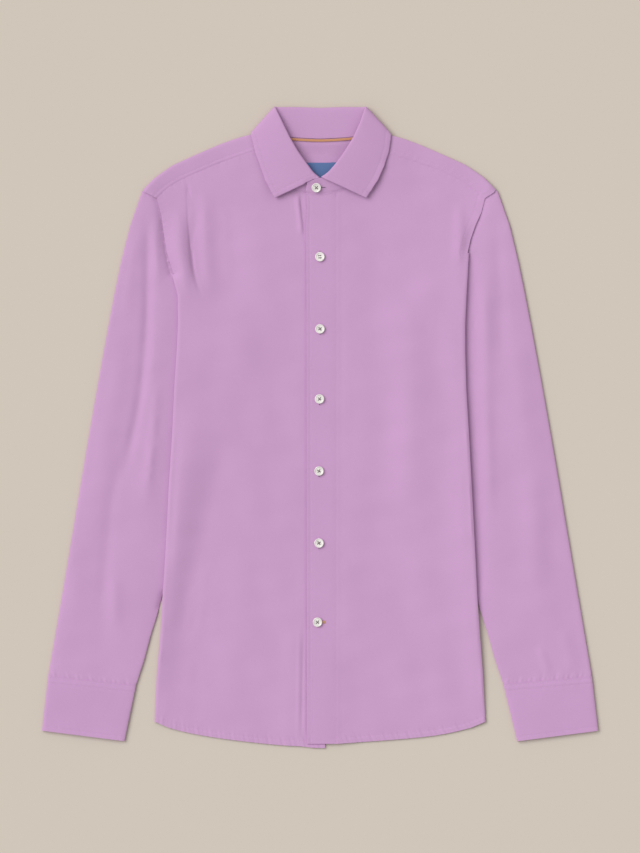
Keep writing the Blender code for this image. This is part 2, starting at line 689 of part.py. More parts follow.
def build_front(half, inner_out, group):
    """One front: the panel, its rolled side edge and the return to the side seam."""
    side = half.side_points()
    rolls = []
    for point in side:
        top = half.upper_level(point.x - 2.0, point.y)
        low = half.return_level(point.x - 2.0, point.y)
        rolls.append((top, low, (top - low) / 2))
    outer = []
    for point, (_, _, roll) in zip(side, rolls):
        outer.append(point - Vector((roll + CLOTH / 2, 0.0)))
    outer += half.armhole_points()[1:]

    if inner_out > 0:
        start = half.neck_station(inner_out)
        neck = [half.neck_point(start)]
        stations = range(math.ceil(start), int(FLAP_RING) + 1)
    else:
        neck = [Vector((inner_out, COLLAR_RINGS[0].neck_y))]
        stations = range(0, int(FLAP_RING) + 1)
    neck += [half.neck_point(station) for station in stations]
    neck[0].x = inner_out
    seam = half.yoke_seam_points()
    top_edge = neck[:-1] + seam
    columns = len(top_edge) - 1
    inner = line((inner_out, half.hem(inner_out)), top_edge[0], len(outer) - 1)
    hem = []
    for point in line((inner_out, 0.0), (outer[0].x, 0.0), columns):
        hem.append(Vector((point.x, half.hem(point.x))))
    hem[-1] = outer[0]
    grid = patch(hem, top_edge, inner, outer)

    under = return_grid(half, outer[:len(side)])

    points = []
    for row, panel_row in enumerate(grid):
        line_points = [half.place(*point, half.upper_level(*point)) for point in panel_row]
        edge_row = min(row, len(side) - 1)
        top, low, roll = rolls[edge_row]
        if row == edge_row:
            line_points[-1].z = top
        base = outer[edge_row]
        for angle in ROLL_ANGLES:
            turn = math.radians(angle)
            bulge = base.x + roll * math.sin(turn)
            line_points.append(half.place(bulge, base.y, low + roll * (1 + math.cos(turn))))
        for point in under[edge_row][1:]:
            line_points.append(half.place(*point, half.return_level(*point)))
        points.append(line_points)

    def above_tuck(column, row):
        return column >= columns and row >= len(side) - 1

    build_sheet("front_" + half.name, points, CLOTH, SHIRT, group, dropped=above_tuck)


def build_placket(group):
    """Doubled strip down the wearer's left front, over the edge of the right one."""
    points = []
    edge = Profile(PLACKET_EDGE)
    top = COLLAR_RINGS[0].neck_y
    for row in range(PLACKET_ROWS + 1):
        y = mix(PLACKET_HEM, top, row / PLACKET_ROWS)
        from_button = min(abs(y - fastener.y) for fastener in PLACKET_BUTTONS)
        ripple = PLACKET_RIPPLE * fade(from_button, (BUTTON_DIAMETER, BUTTON_SPACING / 2))
        strip = []
        for column in range(PLACKET_COLUMNS + 1):
            x = mix(edge(y), PLACKET_LEFT, column / PLACKET_COLUMNS)
            strip.append(Vector((x, y, PLACKET_LEVEL + ripple)))
        points.append(strip)
    build_sheet("placket", points, DOUBLE, SHIRT_DOUBLE, group)


# ---------------------------------------------------------------- sleeves and cuffs
def tube_rows(half, upper, lower, upper_level, floor_level, wall):
    """Rows of a flattened tube: upper layer, inner fold, lower layer, outer fold.

    Both layers are flat grids from the outer fold to the inner one, and the folds are
    rolled, so the tube's outline is the outline of the grids.
    """
    rows = []
    for over, below in zip(upper, lower):
        across = (over[-1] - over[0]).normalized()
        tops = [upper_level(over[0].x - 4.0, over[0].y), upper_level(*over[-1])]
        rolls = [(top - floor_level) / 2 for top in tops]
        insets = [roll + wall / 2 for roll in rolls]
        upper = [over[0] + across * insets[0], *over[1:-1], over[-1] - across * insets[1]]
        levels = [tops[0], *(upper_level(*point) for point in over[1:-1]), tops[1]]
        loop = [half.place(*point, level) for point, level in zip(upper, levels)]
        for angle in ROLL_ANGLES:
            turn = math.radians(angle)
            moved = over[-1] + across * (rolls[1] * math.sin(turn) - insets[1])
            loop.append(half.place(*moved, floor_level + rolls[1] * (1 + math.cos(turn))))
        for point in (*below[-2:0:-1], upper[0]):
            loop.append(half.place(*point, floor_level))
        for angle in ROLL_ANGLES[:-1]:
            turn = math.radians(angle)
            moved = over[0] - across * (rolls[0] * math.sin(turn) - insets[0])
            loop.append(half.place(*moved, floor_level + rolls[0] * (1 - math.cos(turn))))
        loop.append(loop[0].copy())
        rows.append(loop)
    return rows


def build_sleeve(half, group):
    """Sleeve as a flattened tube, with its underarm part tucked below the body."""
    cuff_inner, cuff_outer = (Vector(corner) for corner in CUFF_CORNERS[half.name][:2])
    rise = Vector((0.0, SEAM_GAP + 0.1))
    tip = Vector(SHOULDER_TIP)
    seam_line = [tip, *half.armhole_points()[::-1], *half.hidden_armhole_points()[1:]]
    upper_top = shift(seam_line, SEAM_GAP)
    back_seam = line(tip, YOKE_BACK_CORNER, 2) + Path(BACK_ARMHOLE).steps(BACK_ARMHOLE_ROWS)[1:]
    lower_top = shift(back_seam, SEAM_GAP)
    lower_top[-1] = Vector(SLEEVE_UNDERARM)
    outer = [Vector((half.sleeve_outer(y), y))
             for y in (mix(SLEEVE_OUTER[0].y, cuff_outer.y, k / SLEEVE_ROWS)
                       for k in range(SLEEVE_ROWS + 1))]
    inner = [Vector((half.under(y), y))
             for y in (mix(SLEEVE_UNDERARM[1], cuff_inner.y, k / SLEEVE_ROWS)
                       for k in range(SLEEVE_ROWS + 1))]
    outer[-1] = cuff_outer + rise
    inner[-1] = cuff_inner + rise
    layers = []
    for top in (upper_top, lower_top):
        top[0] = outer[0]
        top[-1] = inner[0]
        cuff = [point + rise for point in line(cuff_outer, cuff_inner, len(top) - 1)]
        layers.append(patch(top, cuff, outer, inner))
    rows = tube_rows(half, *layers, half.sleeve_level, FLOOR_LEVEL, CLOTH)
    build_sheet("sleeve_" + half.name, rows, CLOTH, SHIRT, group, closed=True)


def build_cuff(half, group):
    """Doubled cuff, buttoned on its hidden side, as a flattened tube."""
    inner_top, outer_top, inner_mouth, outer_mouth = CUFF_CORNERS[half.name]
    grid = []
    for row in range(CUFF_ROWS + 1):
        share = row / CUFF_ROWS
        inner = mix(Vector(inner_top), Vector(inner_mouth), share)
        outer = mix(Vector(outer_top), Vector(outer_mouth), share)
        grid.append(line(outer, inner, CUFF_COLUMNS))

    outs = [out for out, _ in CUFF_CORNERS[half.name]]
    centre = sum(outs) / len(outs)

    def level(out, y):
        across = (out - centre) / (max(outs) - min(outs))
        return CUFF_LEVEL + CUFF_CROWN * math.cos(math.pi * across)

    rows = tube_rows(half, grid, grid, level, DOUBLE / 2, DOUBLE)
    build_sheet("cuff_" + half.name, rows, DOUBLE, SHIRT_DOUBLE, group, closed=True)


# ---------------------------------------------------------------- collar
def ring_frame(half, station):
    """Crest, edge, directions, roll and seam drop of the collar at a station."""
    ring = half.ring_at(station)
    crest = Vector((ring[0], ring[1]))
    edge = Vector((ring[3], ring[4]))
    up = (crest - edge).normalized()
    turn = math.radians(ring[8])
    face = Vector((up.y * math.sin(turn), -up.x * math.sin(turn), math.cos(turn)))
    up = Vector((up.x, up.y, 0.0))
    crest = Vector((crest.x, crest.y, ring[2])) - up * (DOUBLE / 2)
    edge = Vector((edge.x, edge.y, ring[5]))
    roll = mix(FRONT_END_ROLL[half.name], CREST_ROLL, min(station / 2.0, 1.0))
    roll = mix(roll, SIDE_ROLL, smooth(2.0 - abs(station - SIDE_RING)))
    return crest, edge, up, face, roll, ring[9]


def leaf_section(half, station):
    """Section of the leaf: from its seam over the crest and down to its free edge."""
    crest, edge, up, face, roll, drop = ring_frame(half, station)
    centre = crest - up * roll
    fullness = LEAF_SWELL * max(face.z, 0.0)
    section = [crest - up * drop - face * roll]
    for angle in CREST_ANGLES:
        turn = math.radians(angle)
        section.append(centre + (up * math.cos(turn) + face * math.sin(turn)) * roll)
    start = section[-1]
    for share in LEAF_SHARES:
        section.append(mix(start, edge, share) + face * fullness * math.sin(math.pi * share))
    return [half.place(*point) for point in section]


def stand_level(half, station):
    """Middle of the stand where it meets the body."""
    ring = half.ring_at(station)
    out, y, turn = ring[6], ring[7], math.radians(ring[8])
    under = half.under_level(out, y) + 0.2
    upper = half.upper_level(out, y) + 0.6
    return mix(under, upper, (1.0 + math.cos(turn)) / 2)


def stand_section(half, station):
    """Section of the stand, from the neck seam up to the seam of the leaf."""
    crest, _, up, face, roll, drop = ring_frame(half, station)
    gap = BEVEL_GAP * (1.0 + smooth(2.0 - abs(station - SIDE_RING)))
    top = crest - up * (drop + gap) - face * roll
    shoulder = top - up * STAND_SHOULDER
    neck = half.neck_point(station)
    rise = (Vector((top.x, top.y)) - neck).normalized()
    neck += rise * (2 * SEAM_GAP)
    foot = Vector((neck.x, neck.y, stand_level(half, station)))
    return [half.place(*point) for point in (foot, mix(foot, shoulder, 0.5), shoulder, top)]


def ring_stations():
    """Stations from the front end to the middle of the back, closer at the side."""
    stations = [0.0]
    for k, row in enumerate(COLLAR_RINGS[:-1]):
        stations += [k + step / row.steps for step in range(1, row.steps + 1)]
    return stations


def build_leaf(group):
    """Collar leaf in one piece, from point to point round the neck."""
    stations = ring_stations()
    sections = [leaf_section(LEFT, station) for station in stations]
    sections += [leaf_section(RIGHT, station) for station in reversed(stations[:-1])]
    points = [list(row) for row in zip(*sections)]
    build_sheet("collar", points, DOUBLE, SHIRT_DOUBLE, group, even=False)


def stand_end_section(half, end):
    foot = Vector((end.neck_out, end.neck_y, end.neck_z))
    top = Vector((end.top_out, end.top_y, end.top_z))
    return [half.place(*mix(foot, top, k / STAND_ROWS)) for k in range(STAND_ROWS + 1)]


def build_stand(group):
    """Collar stand, one band round the neck whose ends lap at the centre front."""
    stations = ring_stations()
    sections = [stand_end_section(LEFT, end) for end in reversed(STAND_ENDS["left"])]
    sections += [stand_section(LEFT, station) for station in stations]
    sections += [stand_section(RIGHT, station) for station in reversed(stations[:-1])]
    sections += [stand_end_section(RIGHT, end) for end in STAND_ENDS["right"]]
    points = [list(row) for row in zip(*sections)]
    build_sheet("collar_stand", points, DOUBLE, SHIRT_DOUBLE, group, even=False)


def build_tape(group):
    """Narrow tape over the back neck seam, inside."""
    lift = DOUBLE / 2 + SEAM_GAP + TRIM / 2 + 0.1
    top_ring = len(COLLAR_RINGS) - 1
    stations = [mix(TAPE_END_RING, top_ring, k / 5) for k in range(6)]
    rows = ([], [])
    for half, run in ((LEFT, stations), (RIGHT, stations[:-1][::-1])):
        for station in run:
            neck = half.neck_point(station)
            level = stand_level(half, station) + lift
            for side, row in zip((-0.5, 0.5), rows):
                row.append(half.place(neck.x, neck.y + side * TAPE_WIDTH, level))
    build_sheet("neck_tape", [list(row) for row in rows], TRIM, TAPE, group)


def build_label(group):
    """Plain woven label on the inside of the yoke, below the tape."""
    lift = CLOTH / 2 + SEAM_GAP + TRIM / 2
    corner = Vector((-LABEL_WIDTH / 2, LABEL_TOP - LABEL_HEIGHT))
    points = []
    for row in range(3):
        y = corner.y + LABEL_HEIGHT * row / 2
        level = LEFT.under_level(0.0, y) + lift
        points.append([Vector((corner.x + LABEL_WIDTH * k / 4, y, level)) for k in range(5)])
    build_sheet("label", points, TRIM, LABEL, group)


# ---------------------------------------------------------------- buttons
def turned_shape(profile, sides):
    """Closed turned solid from (radius, height) pairs that start and end on the axis."""
    shape = bmesh.new()
    vertices = [shape.verts.new((radius * MM, 0.0, height * MM)) for radius, height in profile]
    edges = [shape.edges.new(pair) for pair in zip(vertices, vertices[1:])]
    bmesh.ops.spin(shape, geom=vertices + edges, axis=(0, 0, 1), cent=(0, 0, 0),
                   steps=sides, angle=math.tau, use_merge=True)
    bmesh.ops.remove_doubles(shape, verts=shape.verts, dist=0.01 * MM)
    bmesh.ops.recalc_face_normals(shape, faces=shape.faces)
    return shape


def build_hole_cutters(group):
    """Four thread holes for a button that stands at the origin."""
    shape = bmesh.new()
    for across in (-0.5, 0.5):
        for along in (-0.5, 0.5):
            place = Matrix.Translation(Vector((across, along, 0.0)) * BUTTON_HOLE_SPACING * MM)
            bmesh.ops.create_cone(shape, cap_ends=True, segments=6, depth=3 * BUTTON_HEIGHT * MM,
                                  radius1=BUTTON_HOLE / 2 * MM, radius2=BUTTON_HOLE / 2 * MM,
                                  matrix=place)
    cutter = add_object("button_holes", shape, PEARL, group)
    cutter.hide_render = True
    cutter.display_type = "WIRE"
    return cutter


def button_profile():
    """Dished top with a rounded rim over a domed underside."""
    radius = BUTTON_DIAMETER / 2
    return ((0.0, 0.0), (radius * 0.6, 0.05), (radius * 0.93, BUTTON_HEIGHT * 0.38),
            (radius, BUTTON_HEIGHT * 0.66), (radius * 0.9, BUTTON_HEIGHT),
            (radius * 0.68, BUTTON_HEIGHT - BUTTON_DISH), (0.0, BUTTON_HEIGHT - BUTTON_DISH))


def build_button(fastener, level, tilt, group, cutter_group):
    """Four-hole button set on the cloth at a level and a tilt."""
    item = add_object(fastener.name, turned_shape(button_profile(), BUTTON_SIDES), PEARL, group)
    cutter = build_hole_cutters(cutter_group)
    for piece in (item, cutter):
        piece.location = Vector((fastener.x, fastener.y, level)) * MM
        piece.rotation_euler = (tilt, 0.0, 0.0)
    holes = item.modifiers.new("holes", "BOOLEAN")
    holes.operation = "DIFFERENCE"
    holes.solver = "EXACT"
    holes.object = cutter
    item.data.shade_smooth()
    item.data.set_sharp_from_angle(angle=math.radians(35))


def build_buttons(group, cutter_group):
    for fastener in PLACKET_BUTTONS:
        level = PLACKET_LEVEL + DOUBLE / 2 + SEAM_GAP
        build_button(fastener, level, 0.0, group, cutter_group)
    end = STAND_ENDS["left"][0]
    foot = Vector((end.neck_y, end.neck_z))
    top = Vector((end.top_y, end.top_z))
    tilt = math.atan2(top.y - foot.y, top.x - foot.x)
    share = (STAND_BUTTON.y - foot.x) / (top.x - foot.x)
    surface = mix(foot.y, top.y, share) + DOUBLE / 2 / math.cos(tilt)
    build_button(STAND_BUTTON, surface + 2 * SEAM_GAP, tilt, group, cutter_group)


def main():
    clear_scene()
    shirt = make_collection("long_sleeve_shirt")
    cutters = make_collection("cutters")
    build_back(shirt)
    build_yoke(shirt)
    build_front(LEFT, PLACKET_LEFT + SEAM_GAP, shirt)
    build_front(RIGHT, UNDER_EDGE, shirt)
    build_placket(shirt)
    for half in HALVES:
        build_sleeve(half, shirt)
        build_cuff(half, shirt)
    build_stand(shirt)
    build_leaf(shirt)
    build_tape(shirt)
    build_label(shirt)
    build_buttons(shirt, cutters)


main()
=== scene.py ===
"""Looks of a long-sleeve button-through shirt, buttoned up and laid flat, face up.

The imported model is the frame. Every sewn piece of the shirt is refined from the form of
its own node, gets the soft folds, hems, welts and stitches of sewn cloth, and a knitted
finish. Sizes inside the classes are millimetres on the frame's axes: +X is the wearer's
left, +Y runs towards the collar and +Z is up from the surface that the shirt lies on.
"""

from __future__ import annotations

import json
import logging
import math
from dataclasses import dataclass, field
from enum import Enum
from typing import Callable, ClassVar

import bmesh
import bpy
import numpy as np
from mathutils import Matrix, Vector
from mathutils.bvhtree import BVHTree

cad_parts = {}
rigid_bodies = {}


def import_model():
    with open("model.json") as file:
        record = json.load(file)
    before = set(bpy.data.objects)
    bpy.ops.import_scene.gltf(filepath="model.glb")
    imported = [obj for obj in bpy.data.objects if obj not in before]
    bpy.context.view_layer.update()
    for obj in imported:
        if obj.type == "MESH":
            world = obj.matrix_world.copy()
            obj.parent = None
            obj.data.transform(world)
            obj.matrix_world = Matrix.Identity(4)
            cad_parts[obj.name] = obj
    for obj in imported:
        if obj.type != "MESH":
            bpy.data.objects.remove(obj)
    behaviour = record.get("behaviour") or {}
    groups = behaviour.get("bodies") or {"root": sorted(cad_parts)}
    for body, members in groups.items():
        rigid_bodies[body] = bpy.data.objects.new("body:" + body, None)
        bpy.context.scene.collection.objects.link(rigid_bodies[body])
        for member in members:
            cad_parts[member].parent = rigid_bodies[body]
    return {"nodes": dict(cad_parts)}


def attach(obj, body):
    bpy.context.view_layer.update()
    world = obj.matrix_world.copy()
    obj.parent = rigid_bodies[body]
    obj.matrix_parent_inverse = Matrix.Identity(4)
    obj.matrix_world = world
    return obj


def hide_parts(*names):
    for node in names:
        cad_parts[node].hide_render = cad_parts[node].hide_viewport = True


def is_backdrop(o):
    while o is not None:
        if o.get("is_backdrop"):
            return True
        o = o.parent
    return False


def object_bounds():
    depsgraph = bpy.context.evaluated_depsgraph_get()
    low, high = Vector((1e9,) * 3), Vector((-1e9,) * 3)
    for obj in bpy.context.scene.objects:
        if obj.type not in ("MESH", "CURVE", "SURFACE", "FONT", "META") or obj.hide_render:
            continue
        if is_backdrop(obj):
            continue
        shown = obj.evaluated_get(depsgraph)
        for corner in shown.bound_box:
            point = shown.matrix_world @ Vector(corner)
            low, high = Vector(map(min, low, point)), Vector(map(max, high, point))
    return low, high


MM = 0.001
BODY = "root"
GRAIN = "grain"             # the UV map that the knit follows, in metres
SKY = 1000.0                # height that rays are cast down from
log = logging.getLogger("shirt")

Spot = tuple[float, float]
Colour = tuple[float, float, float, float]
Array = np.ndarray
Object, Node, NodeTree, Socket = bpy.types.Object, bpy.types.Node, bpy.types.NodeTree, bpy.types.NodeSocket


class Side(Enum):
    """Half of the shirt, named for its wearer."""

    LEFT = "left"
    RIGHT = "right"

    @property
    def sign(self) -> float:
        """Returns: 1 for the half on +X and -1 for the other."""
        return 1.0 if self is Side.LEFT else -1.0


class Facing(Enum):
    """Way that a free edge faces on the laid shirt."""

    HEM = (0.0, -1.0)
    LEFT = (1.0, 0.0)
    RIGHT = (-1.0, 0.0)
    HEM_LEFT = (0.42, -0.9)
    HEM_RIGHT = (-0.42, -0.9)


class Join(Enum):
    """How a sewn edge of a piece comes to its neighbour."""

    MEET = "drawn half-way, so that both edges meet at one height"
    TUCK = "slid in under the neighbour's edge"
    EASE = "brought down softly onto a lower neighbour beside it"
    PRESS = "sewn flat onto the neighbour that it lies on"


class Sewn(Enum):
    """How the thread runs between a button's four holes."""

    CROSS = "cross"
    BARS = "bars"


# ---- numbers and curves
def smooth(share: Array | float) -> Array:
    """Returns: the height of a soft step from 0 to 1, at a share of its length."""
    share = np.clip(share, 0.0, 1.0)
    return share * share * (3.0 - 2.0 * share)


def rounded(points: Array, rounds: int = 3) -> Array:
    """Turns a polyline into the smooth curve that a creased, subdivided edge follows.

    Args:
        points: Its corners, one row each.
        rounds: How many times its legs are halved.

    Returns:
        The curve's points, with the ends kept.
    """
    for _ in range(rounds):
        if len(points) < 3:
            return points
        middles = (points[1:] + points[:-1]) / 2
        kept = points.copy()
        kept[1:-1] = points[1:-1] * 0.75 + (points[2:] + points[:-2]) * 0.125
        grown = np.empty((len(points) + len(middles), points.shape[1]))
        grown[0::2] = kept
        grown[1::2] = middles
        points = grown
    return points


def spaced(points: Array, step: float) -> Array:
    """Places points along a polyline at even steps.

    Args:
        points: The polyline.
        step: Wanted distance between two of them.

    Returns:
        The new points, from end to end.
    """
    legs = np.linalg.norm(np.diff(points, axis=0), axis=1)
    along = np.concatenate(([0.0], np.cumsum(legs)))
    count = max(2, int(round(along[-1] / step)) + 1)
    places = np.linspace(0.0, along[-1], count)
    return np.stack([np.interp(places, along, points[:, k]) for k in range(points.shape[1])], axis=1)


def nearest_on(line: Array, co: Array, reach: float) -> tuple[Array, Array]:
    """Finds the nearest place of a line, seen from above, for many points at once.

    Args:
        line: The line's points.
        co: The other points.
        reach: Distance past which the answer doesn't matter.

    Returns:
        The distance, or infinity out of reach, and the way along the line.
    """
    best = np.full(len(co), np.inf)
    along = np.zeros(len(co))
    low = line[:, :2].min(0) - reach
    high = line[:, :2].max(0) + reach
    asked = np.flatnonzero(((co[:, :2] > low) & (co[:, :2] < high)).all(axis=1))
    start = 0.0
    for a, b in zip(line[:-1, :2], line[1:, :2]):
        leg = b - a
        length = math.hypot(*leg)
        if length < 1e-9:
            continue
        dx = co[asked, 0] - a[0]
        dy = co[asked, 1] - a[1]
        share = np.clip((dx * leg[0] + dy * leg[1]) / length**2, 0.0, 1.0)
        distance = np.hypot(dx - share * leg[0], dy - share * leg[1])
        nearer = distance < best[asked]
        best[asked[nearer]] = distance[nearer]
        along[asked[nearer]] = start + share[nearer] * length
        start += length
    return best, along


def closest(line: Array, points: Array) -> Array:
    """Finds the nearest of a line's points, seen from above, for many points.

    Args:
        line: The line's points.
        points: The other points.

    Returns:
        The index of the line's point for each of them.
    """
    found = np.empty(len(points), int)
    for start in range(0, len(points), 2000):
        part = points[start: start + 2000]
        found[start: start + 2000] = np.argmin(
            (part[:, None, 0] - line[None, :, 0]) ** 2 + (part[:, None, 1] - line[None, :, 1]) ** 2, axis=1)
    return found


def runs_of(wanted: Array, bridge: int, shortest: int) -> list[slice]:
    """Finds the unbroken runs in a row of marks.

    Args:
        wanted: The marks, true where wanted.
        bridge: Longest gap that doesn't break a run.
        shortest: Fewest marks that make a run.

    Returns:
        The runs.
    """
    marked = np.flatnonzero(wanted)
    if not len(marked):
        return []
    breaks = np.flatnonzero(np.diff(marked) > bridge)
    starts = np.concatenate(([0], breaks + 1))
    ends = np.concatenate((breaks, [len(marked) - 1]))
    return [slice(marked[a], marked[b] + 1) for a, b in zip(starts, ends)
            if marked[b] - marked[a] >= shortest]


def evened(values: Array, count: int) -> Array:
    """Returns: values along a line, each averaged with so many neighbours on each side."""
    padded = np.pad(values, count, mode="edge")
    return np.convolve(padded, np.ones(2 * count + 1) / (2 * count + 1), "valid")


def waves(place: Array, pitch: float, seed: int) -> Array:
    """Uneven waves along a line, the same on each run.

    Args:
        place: Ways along the line.
        pitch: Usual length of a wave.
        seed: Chooses the waves' phases.

    Returns:
        Heights from about -1 to 1.
    """
    rng = np.random.default_rng(seed)
    total = np.zeros(np.shape(place))
    for share in (0.62, 1.0, 1.71):
        total += np.sin(2 * math.pi * place / (pitch * share) + rng.uniform(0, 2 * math.pi))
    return total / 2.2


def ripple(co: Array, pitch: float, seed: int) -> Array:
    """Uneven low waves over a surface, the same on each run.

    Args:
        co: The surface's points.
        pitch: Usual length of a wave.
        seed: Chooses the waves' directions and phases.

    Returns:
        Heights from about -1 to 1.
    """
    rng = np.random.default_rng(seed)
    total = np.zeros(len(co))
    for _ in range(7):
        turn = rng.uniform(0, math.pi)
        length = pitch * rng.uniform(0.6, 1.6)
        way = co[:, 0] * math.cos(turn) + co[:, 1] * math.sin(turn)
        total += np.sin(2 * math.pi * way / length + rng.uniform(0, 2 * math.pi))
    return total / 3.5


def leftward(line: Array) -> Array:
    """Returns: the flat unit way to the left of a line, at each of its points."""
    way = np.gradient(line[:, :2], axis=0)
    way /= np.linalg.norm(way, axis=1)[:, None] + 1e-12
    return np.stack([-way[:, 1], way[:, 0]], axis=1)


def fall(tree: BVHTree, x: float, y: float, start: float = SKY) -> Vector | None:
    """Returns: where a ray cast straight down lands on a surface, or None."""
    return tree.ray_cast(Vector((x, y, start)), Vector((0, 0, -1)))[0]


@dataclass(frozen=True)
class Fold:
    """A soft ridge of the cloth, or a trough where its height is below 0.

    Attributes:
        path: Points along its line.
        height: How far the line stands over the cloth beside it.
        spread: Half width of its slopes.
        tail: Share of its length over which each end fades out.
    """

    path: tuple[Spot, ...]
    height: float
    spread: float
    tail: float = 0.3

    def relief(self, co: Array) -> Array:
        """Height that the fold adds.

        Args:
            co: The cloth's points.

        Returns:
            The height at each point.
        """
        line = self.line()
        distance, along = nearest_on(line, co, 3 * self.spread)
        length = float(np.linalg.norm(np.diff(line, axis=0), axis=1).sum())
        ends = smooth(along / (self.tail * length)) * smooth((length - along) / (self.tail * length))
        return self.height * np.exp(-((np.minimum(distance, 9 * self.spread) / self.spread) ** 2)) * ends

    def line(self) -> Array:
        """Returns: the fold's line as a smooth curve."""
        return rounded(np.array(self.path, float), 2)


@dataclass(frozen=True)
class Trim:
    """A corner that is turned in along a slanting line.

    Attributes:
        start: First end of the line. The cloth on its right is turned in.
        end: Its other end.
        reach: How far from the line's middle cloth is turned in.
    """

    start: Spot
    end: Spot
    reach: float

    def apply(self, co: Array) -> None:
        """Moves the points on the line's right onto it.

        Args:
            co: The points, which change.
        """
        start = np.array(self.start)
        end = np.array(self.end)
        way = (end - start) / np.linalg.norm(end - start)
        side = (co[:, 0] - start[0]) * way[1] - (co[:, 1] - start[1]) * way[0]
        middle = (start + end) / 2
        near = np.hypot(co[:, 0] - middle[0], co[:, 1] - middle[1]) < self.reach
        moved = (side > 0) & near
        co[moved, 0] -= way[1] * side[moved] * 0.98
        co[moved, 1] += way[0] * side[moved] * 0.98


@dataclass(frozen=True)
class Tug:
    """A spot of a sewn rim that is drawn in under its neighbour.

    Attributes:
        place: The spot.
        shift: How far the cloth there is drawn.
        reach: How far from the spot the cloth still gives.
    """

    place: Spot
    shift: tuple[float, float, float]
    reach: float

    def apply(self, co: Array) -> None:
        """Draws the points near the spot.

        Args:
            co: The points, which change.
        """
        away = np.hypot(co[:, 0] - self.place[0], co[:, 1] - self.place[1])
        give = (1.0 - smooth(away / self.reach)) * smooth((co[:, 2] - ClothPiece.GROUND) / 0.6)
        co += give[:, None] * np.array(self.shift)


@dataclass(frozen=True)
class LetOut:
    """An upright edge that is let out sideways.

    Attributes:
        still: Where across the shirt the cloth stays as it is.
        edge: Where across the shirt the edge is.
        shift: How far the edge moves.
        top: Where up the shirt it starts to fade out.
        fade: How far onward it has faded out.
    """

    still: float
    edge: float
    shift: float
    top: float
    fade: float = 30.0

    def apply(self, co: Array) -> None:
        """Moves the points between the still line and the edge."""
        across = smooth((co[:, 0] - self.still) / (self.edge - self.still))
        co[:, 0] += self.shift * across * (1.0 - smooth((co[:, 1] - self.top) / self.fade))


@dataclass(frozen=True)
class Narrowed:
    """A strip across the shirt that is narrowed about its own evened middle line.

    Attributes:
        share: Share of its width that is left.
        shift: How far up the shirt it moves.
        step: Width of the stretches that its middle line is found in.
    """

    share: float
    shift: float
    step: float = 3.0

    def apply(self, co: Array) -> None:
        """Moves the points towards the middle line.

        Args:
            co: The points, which change.
        """
        stretch = ((co[:, 0] - co[:, 0].min()) // self.step).astype(int)
        found = np.unique(stretch)
        parts = [co[stretch == one] for one in found]
        middle = np.array([(part[:, 1].min() + part[:, 1].max()) / 2 for part in parts])
        places = np.array([part[:, 0].mean() for part in parts])
        co[:, 1] = (np.interp(co[:, 0], places, evened(middle, 3)) + self.shift
                    + (co[:, 1] - np.interp(co[:, 0], places, middle)) * self.share)


@dataclass(frozen=True)
class Seam:
    """A sewn edge of a piece.

    Attributes:
        edge: The neighbour that the edge is sewn to, or the way that a free edge faces.
        rows: Distance of each row of stitches from the edge.
        lift: How far the layers turned in below raise the cloth between edge and stitches.
        pucker: Height of the short waves that the stitches pull up.
        pitch: Distance from one stitch to the next.
        ditch: How far a sewn edge dips at the seam.
        dip: Depth of the soft trough beside the seam.
        slope: Half width of that trough.
        join: How the edge comes to its neighbour.
        above: Place along the shirt from which an eased edge is brought down.
    """

    edge: str | Facing
    rows: tuple[float, ...] = (6.0,)
    lift: float = 0.3
    pucker: float = 0.12
    pitch: float = 2.9
    ditch: float = 0.12
    dip: float = 0.0
    slope: float = 5.0
    join: Join = Join.MEET
    above: float = -1000.0

    GROOVE: ClassVar[float] = 0.3
    GROOVE_HALF: ClassVar[float] = 0.9
    DITCH_HALF: ClassVar[float] = 1.1
    PUCKER_PITCH: ClassVar[float] = 9.0
    PUCKER_REACH: ClassVar[float] = 7.0

    @property
    def sewn(self) -> bool:
        """Returns: whether the edge is sewn to a neighbour."""
        return isinstance(self.edge, str)

    @property
    def width(self) -> float:
        """Returns: distance of the innermost row from the edge."""
        return max((*self.rows, 1.0))

    def relief(self, distance: Array, along: Array, seed: int) -> Array:
        """Height that the seam adds.

        Args:
            distance: Distance of each point from the edge.
            along: Way along the edge.
            seed: Chooses the waves of the pucker.

        Returns:
            The height at each point.
        """
        width = self.width
        raised = self.lift * (1.0 - smooth((distance - width + 0.8) / 2.4))
        grooves = sum(self.GROOVE * np.exp(-(((distance - row) / self.GROOVE_HALF) ** 2))
                      for row in self.rows)
        grooves = grooves + self.dip * np.exp(-((distance / self.slope) ** 2))
        if self.sewn:
            grooves = grooves + self.ditch * np.exp(-((distance / self.DITCH_HALF) ** 2))
        reach = np.exp(-((np.maximum(distance - width, 0.0) / self.PUCKER_REACH) ** 2))
        waved = self.pucker * waves(along + 0.35 * distance, self.PUCKER_PITCH, seed) * reach
        return raised - grooves + waved


# ---- the frame's forms
@dataclass
class Curve:
    """One smooth stretch of the rim round a piece's top side.

    Attributes:
        points: Its points, in millimetres.
        inward: 1 where the piece is on the left of the way along it, and -1 on the right.
    """

    points: Array
    inward: float

    def inset(self, width: float) -> Array:
        """The line that runs beside the curve on its piece.

        Args:
            width: Distance between the two.

        Returns:
            The line's points, without those that a corner brings nearer to the edge.
        """
        moved = spaced(self.points, 1.0)
        moved[:, :2] += self.inward * width * leftward(moved)
        return moved[nearest_on(self.points, moved, 2 * width)[0] > width - 0.1]


def join_facets(bm: bmesh.types.BMesh) -> None:
    """Joins the triangles of a mesh into four-sided faces, but not round its edges."""
    bmesh.ops.join_triangles(
        bm, faces=bm.faces, angle_face_threshold=math.radians(35), angle_shape_threshold=math.pi)


